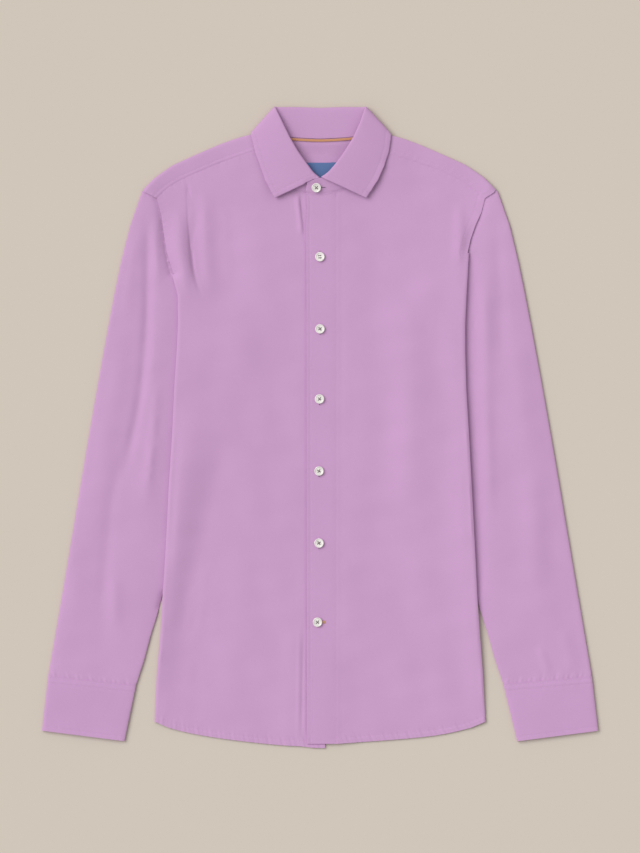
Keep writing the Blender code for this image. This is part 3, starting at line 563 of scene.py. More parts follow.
def even_out(bm: bmesh.types.BMesh, longest: float) -> None:
    """Cuts a mesh into faces of like size: flat stretches on a grid, and others along their own rows.

    Args:
        bm: The mesh, which changes.
        longest: Longest edge that may stay.
    """
    bmesh.ops.dissolve_limit(bm, angle_limit=math.radians(0.05), verts=bm.verts, edges=bm.edges)
    broad = [face for face in bm.faces if is_sliver(face)]
    cut: list = list({thing for face in broad for thing in (face, *face.edges, *face.verts)})
    for axis in (0, 1):
        places = [vertex.co[axis] for face in broad for vertex in face.verts] or [0.0]
        normal = Vector((1.0 - axis, axis, 0.0))
        for place in np.arange(min(places) + longest / 2, max(places), longest):
            cut = bmesh.ops.bisect_plane(
                bm, geom=cut, dist=0.01, plane_co=normal * float(place), plane_no=normal)["geom"]
        broad = [thing for thing in cut if isinstance(thing, bmesh.types.BMFace)]
    for _ in range(6):
        long = [edge for edge in bm.edges if edge.calc_length() > longest * 1.4]
        if not long:
            break
        bmesh.ops.subdivide_edges(bm, edges=long, cuts=1)
    bmesh.ops.triangulate(bm, faces=[face for face in bm.faces if is_sliver(face)])
    thin = [face for face in bm.faces if len(face.verts) == 3]
    inside = [edge for edge in bm.edges if edge.calc_face_angle(math.pi) < math.radians(0.3)
              and all(len(face.verts) == 3 for face in edge.link_faces)]
    bmesh.ops.beautify_fill(bm, faces=thin, edges=inside, method="ANGLE")
    join_facets(bm)


def is_sliver(face: bmesh.types.BMFace) -> bool:
    """Tells whether a face has many corners or is much longer than it is wide."""
    girth = max(edge.calc_length() for edge in face.edges)
    return len(face.verts) > 4 or face.calc_area() < 0.16 * girth * girth


def pair(one: int, other: int) -> tuple[int, int]:
    """Returns: two vertices' numbers, the smaller first."""
    return min(one, other), max(one, other)


class Form:
    """A node of the frame as clean geometry: what the looks of its piece are made from."""

    SHARP = math.radians(48)
    CORNER = math.radians(38)
    FACES_UP = 0.5
    TOP_DEPTH = 1.4
    SEWN = 2.6
    BESIDE = 3.0
    STEP_UP = 5.2
    SHORTEST = 10

    def __init__(self, node: Object) -> None:
        """Reads a node.

        Args:
            node: The node, which is left as it is.
        """
        self.bm = bmesh.new()
        self.bm.from_mesh(node.data)
        self.bm.transform(Matrix.Scale(1 / MM, 4))
        bmesh.ops.remove_doubles(self.bm, verts=self.bm.verts, dist=0.001)
        join_facets(self.bm)
        self.bm.normal_update()
        self.tree = BVHTree.FromBMesh(self.bm)
        self.curves = self.find_curves()

    def top(self, x: float, y: float) -> float | None:
        """Returns: height of the form's top side, or None beside the form."""
        hit = fall(self.tree, x, y)
        return hit.z if hit else None

    def lower(self, x: float, y: float) -> float | None:
        """Height of the layer that the form has under its top layer.

        Args:
            x: Place across.
            y: Place along.

        Returns:
            The height of its upper side, or None where the form has a single layer.
        """
        z = SKY
        for _ in range(3):
            hit = fall(self.tree, x, y, z)
            if hit is None:
                return None
            z = hit.z - 0.02
        return hit.z

    def rim_edges(self) -> dict[tuple[int, int], Vector]:
        """Returns: each edge round the top side, with the way from it into the piece."""
        found = {}
        for edge in self.bm.edges:
            if len(edge.link_faces) != 2 or edge.calc_face_angle(0.0) < self.SHARP:
                continue
            high = max(edge.link_faces, key=lambda face: face.normal.z)
            if high.normal.z < self.FACES_UP:
                continue
            middle = (edge.verts[0].co + edge.verts[1].co) / 2
            way = edge.verts[1].co - edge.verts[0].co
            inward = high.calc_center_median() - middle
            inward = Vector((inward.x, inward.y, 0))
            inward -= inward.project(Vector((way.x, way.y, 0))) if way.xy.length > 1e-6 else Vector()
            if inward.length < 1e-6:
                continue
            inward.normalize()
            top = self.top(middle.x + inward.x * 0.6, middle.y + inward.y * 0.6)
            if top is None or top - middle.z > self.TOP_DEPTH:
                continue
            found[pair(edge.verts[0].index, edge.verts[1].index)] = inward
        return found

    def find_curves(self) -> list[Curve]:
        """Returns: the rim of the top side, as smooth stretches between its corners."""
        self.bm.verts.ensure_lookup_table()
        edges = self.rim_edges()
        beside: dict[int, list[int]] = {}
        for a, b in edges:
            beside.setdefault(a, []).append(b)
            beside.setdefault(b, []).append(a)

        def is_corner(here: int) -> bool:
            """Tells whether the rim ends or turns sharply at a vertex."""
            if len(beside[here]) != 2:
                return True
            co = self.bm.verts[here].co
            one, other = (self.bm.verts[k].co - co for k in beside[here])
            return one.angle(-other, 0.0) > self.CORNER

        curves = []
        left = set(edges)
        for start in sorted(k for k in beside if is_corner(k)):
            for step in beside[start]:
                if pair(start, step) not in left:
                    continue
                run = [start, step]
                left.discard(pair(start, step))
                while not is_corner(run[-1]):
                    onward = [k for k in beside[run[-1]] if pair(run[-1], k) in left]
                    if not onward:
                        break
                    left.discard(pair(run[-1], onward[0]))
                    run.append(onward[0])
                points = np.array([self.bm.verts[k].co for k in run])
                lean = 0.0
                for a, b in zip(run[:-1], run[1:]):
                    way = self.bm.verts[b].co - self.bm.verts[a].co
                    inward = edges[pair(a, b)]
                    lean += way.x * inward.y - way.y * inward.x
                curves.append(Curve(rounded(points), 1.0 if lean >= 0 else -1.0))
        return curves

    def edges(self, wanted: str | Facing, forms: dict[str, "Form"], over: bool = False) -> list[Curve]:
        """Finds a sewn or free edge.

        Args:
            wanted: A neighbour's name, or the way that the edge faces.
            forms: All forms by name.
            over: Whether the edge lies on the neighbour, and not beside it.

        Returns:
            The edge's smooth stretches, or none where the top side has no such edge.
        """
        if isinstance(wanted, Facing):
            way = np.array(wanted.value) / math.hypot(*wanted.value)

            def score(curve: Curve) -> float:
                """Length of a curve, much less where it faces another way."""
                run = curve.points[-1, :2] - curve.points[0, :2]
                out = curve.inward * np.array([run[1], -run[0]])
                length = float(np.linalg.norm(out)) + 1e-9
                return length * max(float(out @ way) / length, 0.0) ** 12

            return [max(self.curves, key=score)]
        other = forms[wanted]
        rims = np.vstack([spaced(curve.points, 1.0) for curve in other.curves])
        found = []
        for curve in self.curves:
            line = spaced(curve.points, 1.0)
            if over:
                near = [other.tree.find_nearest(Vector(point), self.SEWN)[0] is not None for point in line]
            else:
                gap = rims[closest(rims, line)] - line
                near = (np.hypot(gap[:, 0], gap[:, 1]) < self.BESIDE) & (np.abs(gap[:, 2]) < self.STEP_UP)
            found += [Curve(line[run], curve.inward) for run in runs_of(np.array(near), 8, self.SHORTEST)]
        return found


class Lay:
    """Tells how the pieces lie over one another, on a fine grid over the whole shirt."""

    STEP = 2.0
    MARGIN = 12.0
    HELD = 15.0

    def __init__(self, forms: dict[str, Form], low: Vector, high: Vector) -> None:
        """Casts rays down on the forms.

        Args:
            forms: The cloth forms by name.
            low: Lowest corner of the shirt, in metres.
            high: Its highest corner.
        """
        self.origin = np.array(low[:2]) / MM - self.MARGIN
        span = np.array(high[:2]) / MM + self.MARGIN - self.origin
        self.size = (span / self.STEP).astype(int) + 1
        self.tops = {name: self.top_map(form.tree, form.bm.verts) for name, form in forms.items()}

    def top_map(self, tree: BVHTree, vertices: list) -> Array:
        """Height of one form's top side over the grid.

        Args:
            tree: The form's faces.
            vertices: Its vertices, for its reach.

        Returns:
            The heights, with NaN beside the form.
        """
        heights = np.full(self.size[::-1], np.nan)
        co = np.array([vertex.co for vertex in vertices])
        first = ((co.min(0)[:2] - self.origin) / self.STEP).astype(int)
        last = ((co.max(0)[:2] - self.origin) / self.STEP).astype(int) + 2
        for row in range(first[1], last[1]):
            for column in range(first[0], last[0]):
                hit = fall(tree, *(self.origin + (column * self.STEP, row * self.STEP)))
                if hit:
                    heights[row, column] = hit.z
        return heights

    def blurred(self, values: Array, reach: float) -> Array:
        """Averages a map over its surroundings.

        Args:
            values: The map.
            reach: How far these reach, in millimetres.

        Returns:
            The blurred map.
        """
        count = max(1, int(round(reach / self.STEP / 3)))
        for _ in range(3):
            for axis in (0, 1):
                sides = [(count, count) if k == axis else (0, 0) for k in (0, 1)]
                total = np.cumsum(np.pad(values, sides, mode="edge"), axis=axis)
                total = np.insert(total, 0, 0.0, axis=axis)
                width = 2 * count + 1
                upper = np.take(total, range(width, total.shape[axis]), axis=axis)
                lower = np.take(total, range(0, total.shape[axis] - width), axis=axis)
                values = (upper - lower) / width
        return values

    def freedom(self, name: str) -> Array:
        """Returns: how freely a piece may rise, a map from 0 under another one to 1 away from it."""
        return np.clip(1.0 - 2.0 * self.blurred(self.covered(name).astype(float), self.HELD), 0.0, 1.0)

    def covered(self, name: str) -> Array:
        """Tells where another piece lies over a piece.

        Args:
            name: The piece's node.

        Returns:
            A map that is true there.
        """
        own = self.tops[name]
        covered = np.zeros(own.shape, bool)
        for other, tops in self.tops.items():
            if other != name:
                with np.errstate(invalid="ignore"):
                    covered |= (tops > own + 0.2)
        return covered

    def hidden(self, name: str) -> Array:
        """Tells where a piece is out of sight.

        Args:
            name: The piece's node.

        Returns:
            A map of 1 there and up to one step past its hidden edges, and 0 elsewhere.
        """
        covered = self.covered(name)
        grown = covered.copy()
        for axis in (0, 1):
            for step in (1, -1):
                grown |= np.roll(grown, step, axis)
        return np.where(np.isnan(self.tops[name]), grown, covered).astype(float)

    def sample(self, values: Array, co: Array) -> Array:
        """Reads a map between its points.

        Args:
            values: The map.
            co: The places to read.

        Returns:
            The map's value at each place.
        """
        place = np.clip((co[:, :2] - self.origin) / self.STEP, 0, self.size - 1.001)
        c, r = place.astype(int).T
        u, v = (place % 1.0).T
        low = values[r, c] * (1 - u) + values[r, c + 1] * u
        high = values[r + 1, c] * (1 - u) + values[r + 1, c + 1] * u
        return low * (1 - v) + high * v


# ---- finishes
class Graph:
    """A node tree with short ways to add nodes and join them."""

    def __init__(self, tree: NodeTree) -> None:
        """Keeps the tree that nodes are added to."""
        self.tree = tree

    def node(self, kind: str, *values: object, **named: object) -> Node:
        """Adds a node.

        Args:
            kind: Its type.
            values: What its first inputs get, a socket or a value each.
            named: What its settings and named inputs get.

        Returns:
            The node.
        """
        made = self.tree.nodes.new(kind)
        for key, value in named.items():
            if hasattr(made, key):
                setattr(made, key, value)
            else:
                self.feed(made, key, value)
        for place, value in enumerate(values):
            self.feed(made, place, value)
        return made

    def feed(self, node: Node, key: str | int, value: object) -> None:
        """Links a socket to an input, or sets the input's value.

        Args:
            node: The input's node.
            key: The input's place, or its name with _ for each blank.
            value: A socket or a plain value.
        """
        target = node.inputs[key if isinstance(key, int) else key.replace("_", " ")]
        if isinstance(value, Socket):
            self.tree.links.new(value, target)
        else:
            target.default_value = value

    def math(self, operation: str, *values: object) -> Socket:
        """Returns: the result of a sum with one to three values."""
        return self.node("ShaderNodeMath", *values, operation=operation).outputs[0]

    def vector(self, operation: str, *values: object, **named: object) -> Socket:
        """Returns: the result of a sum with vectors."""
        return self.node("ShaderNodeVectorMath", *values, operation=operation, **named).outputs[0]

    def blend(self, share: object, one: object, other: object) -> Socket:
        """Returns: a mix of two colours, the first where the share is 0."""
        return self.node("ShaderNodeMix", data_type="RGBA", Factor=share, A=one, B=other).outputs["Result"]

    def relief(self, height: object, depth: float, strength: float = 1.0) -> Socket:
        """Returns: the normal of a relief, whose depth is in millimetres."""
        return self.node("ShaderNodeBump", Strength=strength, Distance=depth * MM, Height=height).outputs[0]

    def mottled(self, **sizes: float) -> Node:
        """Returns: the node of the slow change of tone, with these sizes."""
        place = self.node("ShaderNodeTexCoord").outputs["Object"]
        return self.node("ShaderNodeGroup", node_tree=shared("mottle", mottle_group), Place=place, **sizes)

    def fill(self, **inputs: object) -> None:
        """Feeds the named inputs of the material's shader."""
        for key, value in inputs.items():
            self.feed(self.tree.nodes["Principled BSDF"], key, value)


def new_group(name: str, inputs: dict[str, float],
              outputs: tuple[str, ...]) -> tuple[Graph, Node, Node]:
    """Makes an empty node group for a pattern over a place.

    Args:
        name: The group's name.
        inputs: Its number inputs, with their first values.
        outputs: Its number outputs.

    Returns:
        The group's graph, its input node and its output node.
    """
    group = bpy.data.node_groups.new(name, "ShaderNodeTree")
    group.interface.new_socket("Place", in_out="INPUT", socket_type="NodeSocketVector")
    for label, value in inputs.items():
        socket = group.interface.new_socket(label, in_out="INPUT", socket_type="NodeSocketFloat")
        socket.default_value = value
    for label in outputs:
        group.interface.new_socket(label, in_out="OUTPUT", socket_type="NodeSocketFloat")
    graph = Graph(group)
    return graph, graph.node("NodeGroupInput"), graph.node("NodeGroupOutput")


def knit_group() -> NodeTree:
    """Builds the knit: small raised cells in staggered rows, a little uneven.

    Returns:
        The node group, with the outputs Height and Hollow.
    """
    sizes = {"Wale": 0.9, "Course": 0.8, "Unevenness": 0.2}
    graph, given, out = new_group("knit", sizes, ("Height", "Hollow"))
    place = graph.vector("SCALE", given.outputs["Place"], Scale=1 / MM)
    wander = graph.node("ShaderNodeTexNoise", place, Scale=0.35, Detail=2.0)
    centred = graph.vector("SUBTRACT", wander.outputs["Color"], (0.5, 0.5, 0.5))
    shift = graph.vector("SCALE", centred, Scale=given.outputs["Unevenness"])
    parts = graph.node("ShaderNodeSeparateXYZ", graph.vector("ADD", place, shift))
    across = graph.math("DIVIDE", parts.outputs[0], given.outputs["Wale"])
    along = graph.math("DIVIDE", parts.outputs[1], given.outputs["Course"])
    stagger = graph.math("MULTIPLY", graph.math("FLOORED_MODULO", graph.math("FLOOR", along), 2.0), 0.5)
    bumps = [graph.math("SINE", graph.math("MULTIPLY", graph.math("FRACT", way), math.pi))
             for way in (graph.math("ADD", across, stagger), along)]
    cell = graph.math("POWER", graph.math("MULTIPLY", *bumps), 0.6)
    fibre = graph.node("ShaderNodeTexNoise", place, Scale=3.2, Detail=3.0)
    height = graph.math("ADD", cell, graph.math("MULTIPLY", fibre.outputs["Fac"], 0.5))
    graph.feed(out, "Height", height)
    graph.feed(out, "Hollow", graph.math("SUBTRACT", 1.0, cell))
    return graph.tree


def mottle_group() -> NodeTree:
    """Builds the slow change of tone over dyed cloth, in broad clouds and fine flecks.

    Returns:
        The node group, with the outputs Cloud and Fleck.
    """
    graph, given, out = new_group("mottle", {"Cloud Size": 60.0, "Fleck Size": 1.6}, ("Cloud", "Fleck"))
    for label, detail, roughness in (("Cloud", 3.0, 0.45), ("Fleck", 2.0, 0.6)):
        scale = graph.math("DIVIDE", 1 / MM, given.outputs[f"{label} Size"])
        noise = graph.node("ShaderNodeTexNoise", given.outputs["Place"], Scale=scale, Detail=detail,
                           Roughness=roughness)
        graph.feed(out, label, noise.outputs["Fac"])
    return graph.tree


def shared(name: str, make: Callable[[], NodeTree]) -> NodeTree:
    """Returns: the node group of this name, which is made at its first use."""
    return bpy.data.node_groups.get(name) or make()


@dataclass(frozen=True)
class Finish:
    """What the looks of a material are made from.

    Attributes:
        name: The material's name.
        colour: Its main colour, linear.
        shade_and_dark_tone: Second colour, linear: painted shade in the hollows of knit and weave, and the
            darker spots, strands or bands of the thread's or shell's own tone.
    """

    name: str
    colour: Colour
    shade_and_dark_tone: Colour

    def material(self) -> bpy.types.Material:
        """Returns: the finish as a material, built at its first use."""
        material = bpy.data.materials.get(self.name)
        if material is None:
            material = bpy.data.materials.new(self.name)
            material.use_nodes = True
            self.paint(Graph(material.node_tree))
        return material

    def paint(self, graph: Graph) -> None:
        """Adds the finish to a new material's graph."""
        raise NotImplementedError(self.name)


@dataclass(frozen=True)
class Knit(Finish):
    """Finish of the knitted cloth.

    Attributes:
        wale: Width of a knitted cell.
        course: Its height.
        relief: Depth of the cells.
        mottle: Strength of the slow change of tone.
        sheen: Weight of the soft sheen of the fibres.
    """

    wale: float = 0.9
    course: float = 0.8
    relief: float = 0.07
    mottle: float = 0.10
    sheen: float = 0.12

    def paint(self, graph: Graph) -> None:
        """Adds the cells, with painted shade darkening their hollows, and the slow change of tone.

        Args:
            graph: The material's graph.
        """
        grain = graph.node("ShaderNodeUVMap", uv_map=GRAIN)
        knit = graph.node("ShaderNodeGroup", node_tree=shared("knit", knit_group),
                          Place=grain.outputs["UV"], Wale=self.wale, Course=self.course)
        mottle = graph.mottled()
        tone = graph.math("MULTIPLY_ADD", mottle.outputs["Cloud"], self.mottle, 1.0 - self.mottle / 2)
        fleck = graph.math("MULTIPLY_ADD", mottle.outputs["Fleck"], 0.07, 0.965)
        lit = graph.vector("SCALE", self.colour[:3], Scale=graph.math("MULTIPLY", tone, fleck))
        # Painted shade: the colour darkens in the hollows of the knit cells.
        hollow_shade = graph.math("MULTIPLY", graph.math("POWER", knit.outputs["Hollow"], 1.5), 0.35)
        graph.fill(Base_Color=graph.blend(hollow_shade, lit, self.shade_and_dark_tone),
                   Roughness=graph.math("MULTIPLY_ADD", knit.outputs["Hollow"], 0.1, 0.8),
                   Normal=graph.relief(knit.outputs["Height"], self.relief),
                   Sheen_Weight=self.sheen, Sheen_Roughness=0.45, Sheen_Tint=(1.0, 0.86, 1.0, 1.0),
                   Specular_IOR_Level=0.2)


@dataclass(frozen=True)
class Woven(Finish):
    """Finish of a flat woven trim: fine ribs in a twill or a plain weave.

    Attributes:
        rib: Width of a rib.
        slant: How far the ribs lean: 0 straight across, 1 at 45 degrees.
        zigzag: Width of one leg where the ribs turn back in a herringbone, or 0.
        sheen: Weight of the yarn's sheen.
    """

    rib: float = 0.5
    slant: float = 0.0
    zigzag: float = 0.0
    sheen: float = 0.1

    def paint(self, graph: Graph) -> None:
        """Adds the ribs and the picks across them, with painted shade darkening their low parts, and random
        darker spots.

        Args:
            graph: The material's graph.
        """
        grain = graph.node("ShaderNodeUVMap", uv_map=GRAIN)
        place = graph.vector("SCALE", grain.outputs["UV"], Scale=1 / MM)
        parts = graph.node("ShaderNodeSeparateXYZ", place)
        across = parts.outputs[1]
        if self.zigzag:
            across = graph.math("PINGPONG", across, self.zigzag)
        leaning = graph.math("MULTIPLY_ADD", across, self.slant, parts.outputs[0])
        rib = graph.math("SINE", graph.math("MULTIPLY", leaning, 2 * math.pi / self.rib))
        pick = graph.math("SINE", graph.math("MULTIPLY", parts.outputs[1], 2 * math.pi / (0.8 * self.rib)))
        height = graph.math("MULTIPLY_ADD", pick, 0.12, graph.math("MULTIPLY_ADD", rib, 0.35, 0.5))
        spots = graph.node("ShaderNodeTexNoise", place, Scale=1.1, Detail=3.0)
        # Painted shade: the colour darkens where ribs and picks are low, with random darker spots of tone.
        shade = graph.math("MULTIPLY_ADD", spots.outputs["Fac"], 0.4, height)
        share = graph.math("MAXIMUM", graph.math("SUBTRACT", 1.05, shade), 0.0)
        graph.fill(Base_Color=graph.blend(share, self.colour, self.shade_and_dark_tone),
                   Roughness=graph.math("MULTIPLY_ADD", height, -0.15, 0.75),
                   Normal=graph.relief(height, 0.05), Sheen_Weight=self.sheen, Specular_IOR_Level=0.3)


@dataclass(frozen=True)
class Yarn(Finish):
    """Finish of sewing thread, also given to the dark lens of painted shade in the buttonhole slits."""

    def paint(self, graph: Graph) -> None:
        """Adds the fine strands.

        Args:
            graph: The material's graph.
        """
        fleck = graph.mottled(Fleck_Size=0.35).outputs["Fleck"]
        share = graph.math("MAXIMUM", graph.math("MULTIPLY_ADD", fleck, 1.6, -0.4), 0.0)
        graph.fill(Base_Color=graph.blend(graph.math("MINIMUM", share, 1.0), self.colour, self.shade_and_dark_tone),
                   Roughness=graph.math("MULTIPLY_ADD", fleck, 0.2, 0.45),
                   Normal=graph.relief(fleck, 0.04, 0.6), Sheen_Weight=0.15)


@dataclass(frozen=True)
class Pearl(Finish):
    """Finish of the buttons: pale shell with soft bands of tone under a gloss."""

    def paint(self, graph: Graph) -> None:
        """Adds the bands and the gloss.

        Args:
            graph: The material's graph.
        """
        place = graph.node("ShaderNodeTexCoord").outputs["Object"]
        wave = graph.node("ShaderNodeTexWave", place, wave_type="BANDS", bands_direction="DIAGONAL",
                          Scale=55.0, Distortion=9.0, Detail=3.0, Detail_Scale=1.4)
        bands = wave.outputs["Fac"]
        share = graph.math("MULTIPLY", bands, graph.mottled(Cloud_Size=5.0).outputs["Cloud"])
        graph.fill(Base_Color=graph.blend(share, self.colour, self.shade_and_dark_tone),
                   Roughness=graph.math("MULTIPLY_ADD", bands, 0.12, 0.22),
                   Normal=graph.relief(bands, 0.05, 0.25), Coat_Weight=0.5, Coat_Roughness=0.12, IOR=1.53)


# The second colour of each knit is painted shade, which the knit's hollows are darkened towards.
LILAC = Knit("lilac_knit", (0.612, 0.362, 0.612, 1.0), (0.444, 0.236, 0.452, 1.0))
LILAC_DOUBLE = Knit("lilac_knit_double", (0.604, 0.355, 0.606, 1.0), (0.436, 0.230, 0.445, 1.0),
                    wale=0.85, course=0.75, relief=0.06)
# The second colour of each weave is painted shade for the low parts of its ribs, and the tone of its darker
# spots.
TAPE_TWILL = Woven("tape_twill", (0.660, 0.330, 0.160, 1.0), (0.450, 0.210, 0.110, 1.0), 0.8, 1.0, 2.2)
LABEL_WEAVE = Woven("label_weave", (0.125, 0.215, 0.440, 1.0), (0.070, 0.130, 0.300, 1.0), 0.42)
# The stitch thread is paler than the cloth: partly its own tone and partly a painted highlight along the
# rows of stitches.
LILAC_THREAD_AND_HIGHLIGHT = Yarn("lilac_thread", (0.700, 0.440, 0.700, 1.0), (0.530, 0.300, 0.535, 1.0))
DARK_THREAD = Yarn("dark_thread", (0.200, 0.160, 0.160, 1.0), (0.090, 0.060, 0.075, 1.0))
TAN_THREAD = Yarn("tan_thread", (0.680, 0.380, 0.200, 1.0), (0.480, 0.240, 0.120, 1.0))
# Painted shade: the colour of the dark lens laid in each buttonhole's slit, where there is only shadow.
SLIT_SHADE = Yarn("buttonhole_slit", (0.170, 0.075, 0.175, 1.0), (0.080, 0.030, 0.085, 1.0))
SHELL = Pearl("button_shell", (0.900, 0.880, 0.840, 1.0), (0.640, 0.620, 0.590, 1.0))


# ---- making pieces
def linked(name: str, data: bpy.types.ID) -> Object:
    """Returns: a new object of the scene."""
    thing = bpy.data.objects.new(name, data)
    bpy.context.scene.collection.objects.link(thing)
    return thing


def smoothed(mesh: bpy.types.Mesh) -> None:
    """Shades all faces of a mesh smooth."""
    mesh.polygons.foreach_set("use_smooth", [True] * len(mesh.polygons))


def dressed(piece: Object, finish: Finish, scaled: bool = False) -> Object:
    """Gives a finished mesh its material, slot and body, and reports it.

    Args:
        piece: The piece.
        finish: Its finish.
        scaled: Whether its mesh is still in millimetres.

    Returns:
        The piece.
    """
    if scaled:
        piece.data.transform(Matrix.Scale(MM, 4))
    piece.data.materials.clear()
    piece.data.materials.append(finish.material())
    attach(piece, BODY)
    piece.data.calc_loop_triangles()
    log.info("%s: %d triangles, %s", piece.name, len(piece.data.loop_triangles), finish.name)
    return piece


def coordinates(mesh: bpy.types.Mesh) -> Array:
    """Returns: the vertices of a mesh in millimetres, one row each."""
    flat = np.empty(len(mesh.vertices) * 3)
    mesh.vertices.foreach_get("co", flat)
    return flat.reshape(-1, 3) / MM


@dataclass(frozen=True)
class Sewing:
    """Rows of machine stitches, each a short plump bead of thread half sunk in the cloth.

    Attributes:
        length: Length of a stitch.
        radius: Half its thickness.
    """

    length: float = 2.3
    radius: float = 0.3

    OFF_LINE = 5.0
    STEEP = 0.3
    SIDES = 6
    PROFILE = ((-0.5, 0.0, 0.7), (-0.38, 0.75, 0.3), (0.0, 1.0, 0.0), (0.38, 0.75, 0.3), (0.5, 0.0, 0.7))

    def bead(self, centre: Vector, way: Vector, up: Vector) -> tuple[list[Vector], list[tuple[int, ...]]]:
        """Shapes one stitch.

        Args:
            centre: Its middle, on the cloth.
            way: The way along it.
            up: The cloth's normal.

        Returns:
            Its vertices and its faces.
        """
        across = way.cross(up).normalized()
        vertices = []
        for share, girth, drop in self.PROFILE:
            middle = centre + way * (share * self.length) - up * (drop * self.radius)
            if girth == 0.0:
                vertices.append(middle)
                continue
            for k in range(self.SIDES):
                turn = 2 * math.pi * k / self.SIDES
                spoke = across * math.cos(turn) + up * math.sin(turn)
                vertices.append(middle + spoke * girth * self.radius)
        last = len(vertices) - 1
        faces = []
        for k in range(self.SIDES):
            onward = (k + 1) % self.SIDES
            faces.append((0, 1 + onward, 1 + k))
            faces.append((last, last - self.SIDES + k, last - self.SIDES + onward))
            for ring in range(len(self.PROFILE) - 3):
                a = 1 + ring * self.SIDES
                b = a + self.SIDES
                faces.append((a + k, a + onward, b + onward, b + k))
        return vertices, faces

    def rows(self, lines: list[tuple[Array, float]], tree: BVHTree) -> tuple[Array, list]:
        """Sews along lines.

        Args:
            lines: Each row's line and the distance from one stitch to the next.
            tree: The cloth's surface.

        Returns:
            The vertices and faces of all stitches.
        """
        vertices: list = []
        faces: list = []
        for line, pitch in lines:
            if len(line) < 3:
                continue
            points = spaced(line, pitch)
            ways = np.gradient(points, axis=0)
            for point, way in zip(points[1:-1], ways[1:-1]):
                hit, normal, _, _ = tree.ray_cast(Vector((point[0], point[1], SKY)), Vector((0, 0, -1)))
                if hit is None or abs(hit.z - point[2]) > self.OFF_LINE or normal.z < self.STEEP:
                    continue
                along = Vector(way)
                along -= normal * along.dot(normal)
                new, joined = self.bead(hit, along.normalized(), normal)
                faces += [tuple(k + len(vertices) for k in face) for face in joined]
                vertices += new
        return np.array([tuple(v) for v in vertices]).reshape(-1, 3), faces


class Workroom:
    """What every sub-assembly works with.

    Attributes:
        forms: The forms of the cloth nodes by name.
        lay: How they lie over one another.
        surfaces: The finished surface of each piece by its node's name.
    """

    INNER = 2.5
    ONWARD = 6

    def __init__(self, nodes: dict[str, Object], low: Vector, high: Vector) -> None:
        """Reads the frame.

        Args:
            nodes: The frame's nodes.
            low: Lowest corner of the shirt, in metres.
            high: Its highest corner.
        """
        self.forms = {name: Form(node) for name, node in nodes.items() if not name.startswith("button")}
        self.lay = Lay(self.forms, low, high)
        self.surfaces: dict[str, BVHTree] = {}

    def edges(self, node: str, seam: Seam) -> list[Curve]:
        """Finds the stretches of a piece's sewn or free edge that are in sight.

        Args:
            node: The piece's node.
            seam: The edge.

        Returns:
            The stretches.
        """
        over = seam.join is Join.PRESS
        curves = self.forms[node].edges(seam.edge, self.forms, over)
        return curves if over or not seam.sewn else self.in_sight(node, curves)

    def in_sight(self, node: str, curves: list[Curve]) -> list[Curve]:
        """Keeps the stretches of edges that no other piece covers, and a little onward.

        Args:
            node: The piece's node.
            curves: Its edges.

        Returns:
            The stretches in sight.
        """
        hidden = self.lay.hidden(node)
        kept = []
        for curve in curves:
            line = spaced(curve.points, 1.0)
            inner = line[:, :2] + curve.inward * self.INNER * leftward(line)
            sight = evened(1.0 - self.lay.sample(hidden, inner), 3) > 0.5
            kept += [Curve(line[max(run.start - self.ONWARD, 0): run.stop + self.ONWARD], curve.inward)
                     for run in runs_of(sight, 6, Form.SHORTEST)]
        return kept


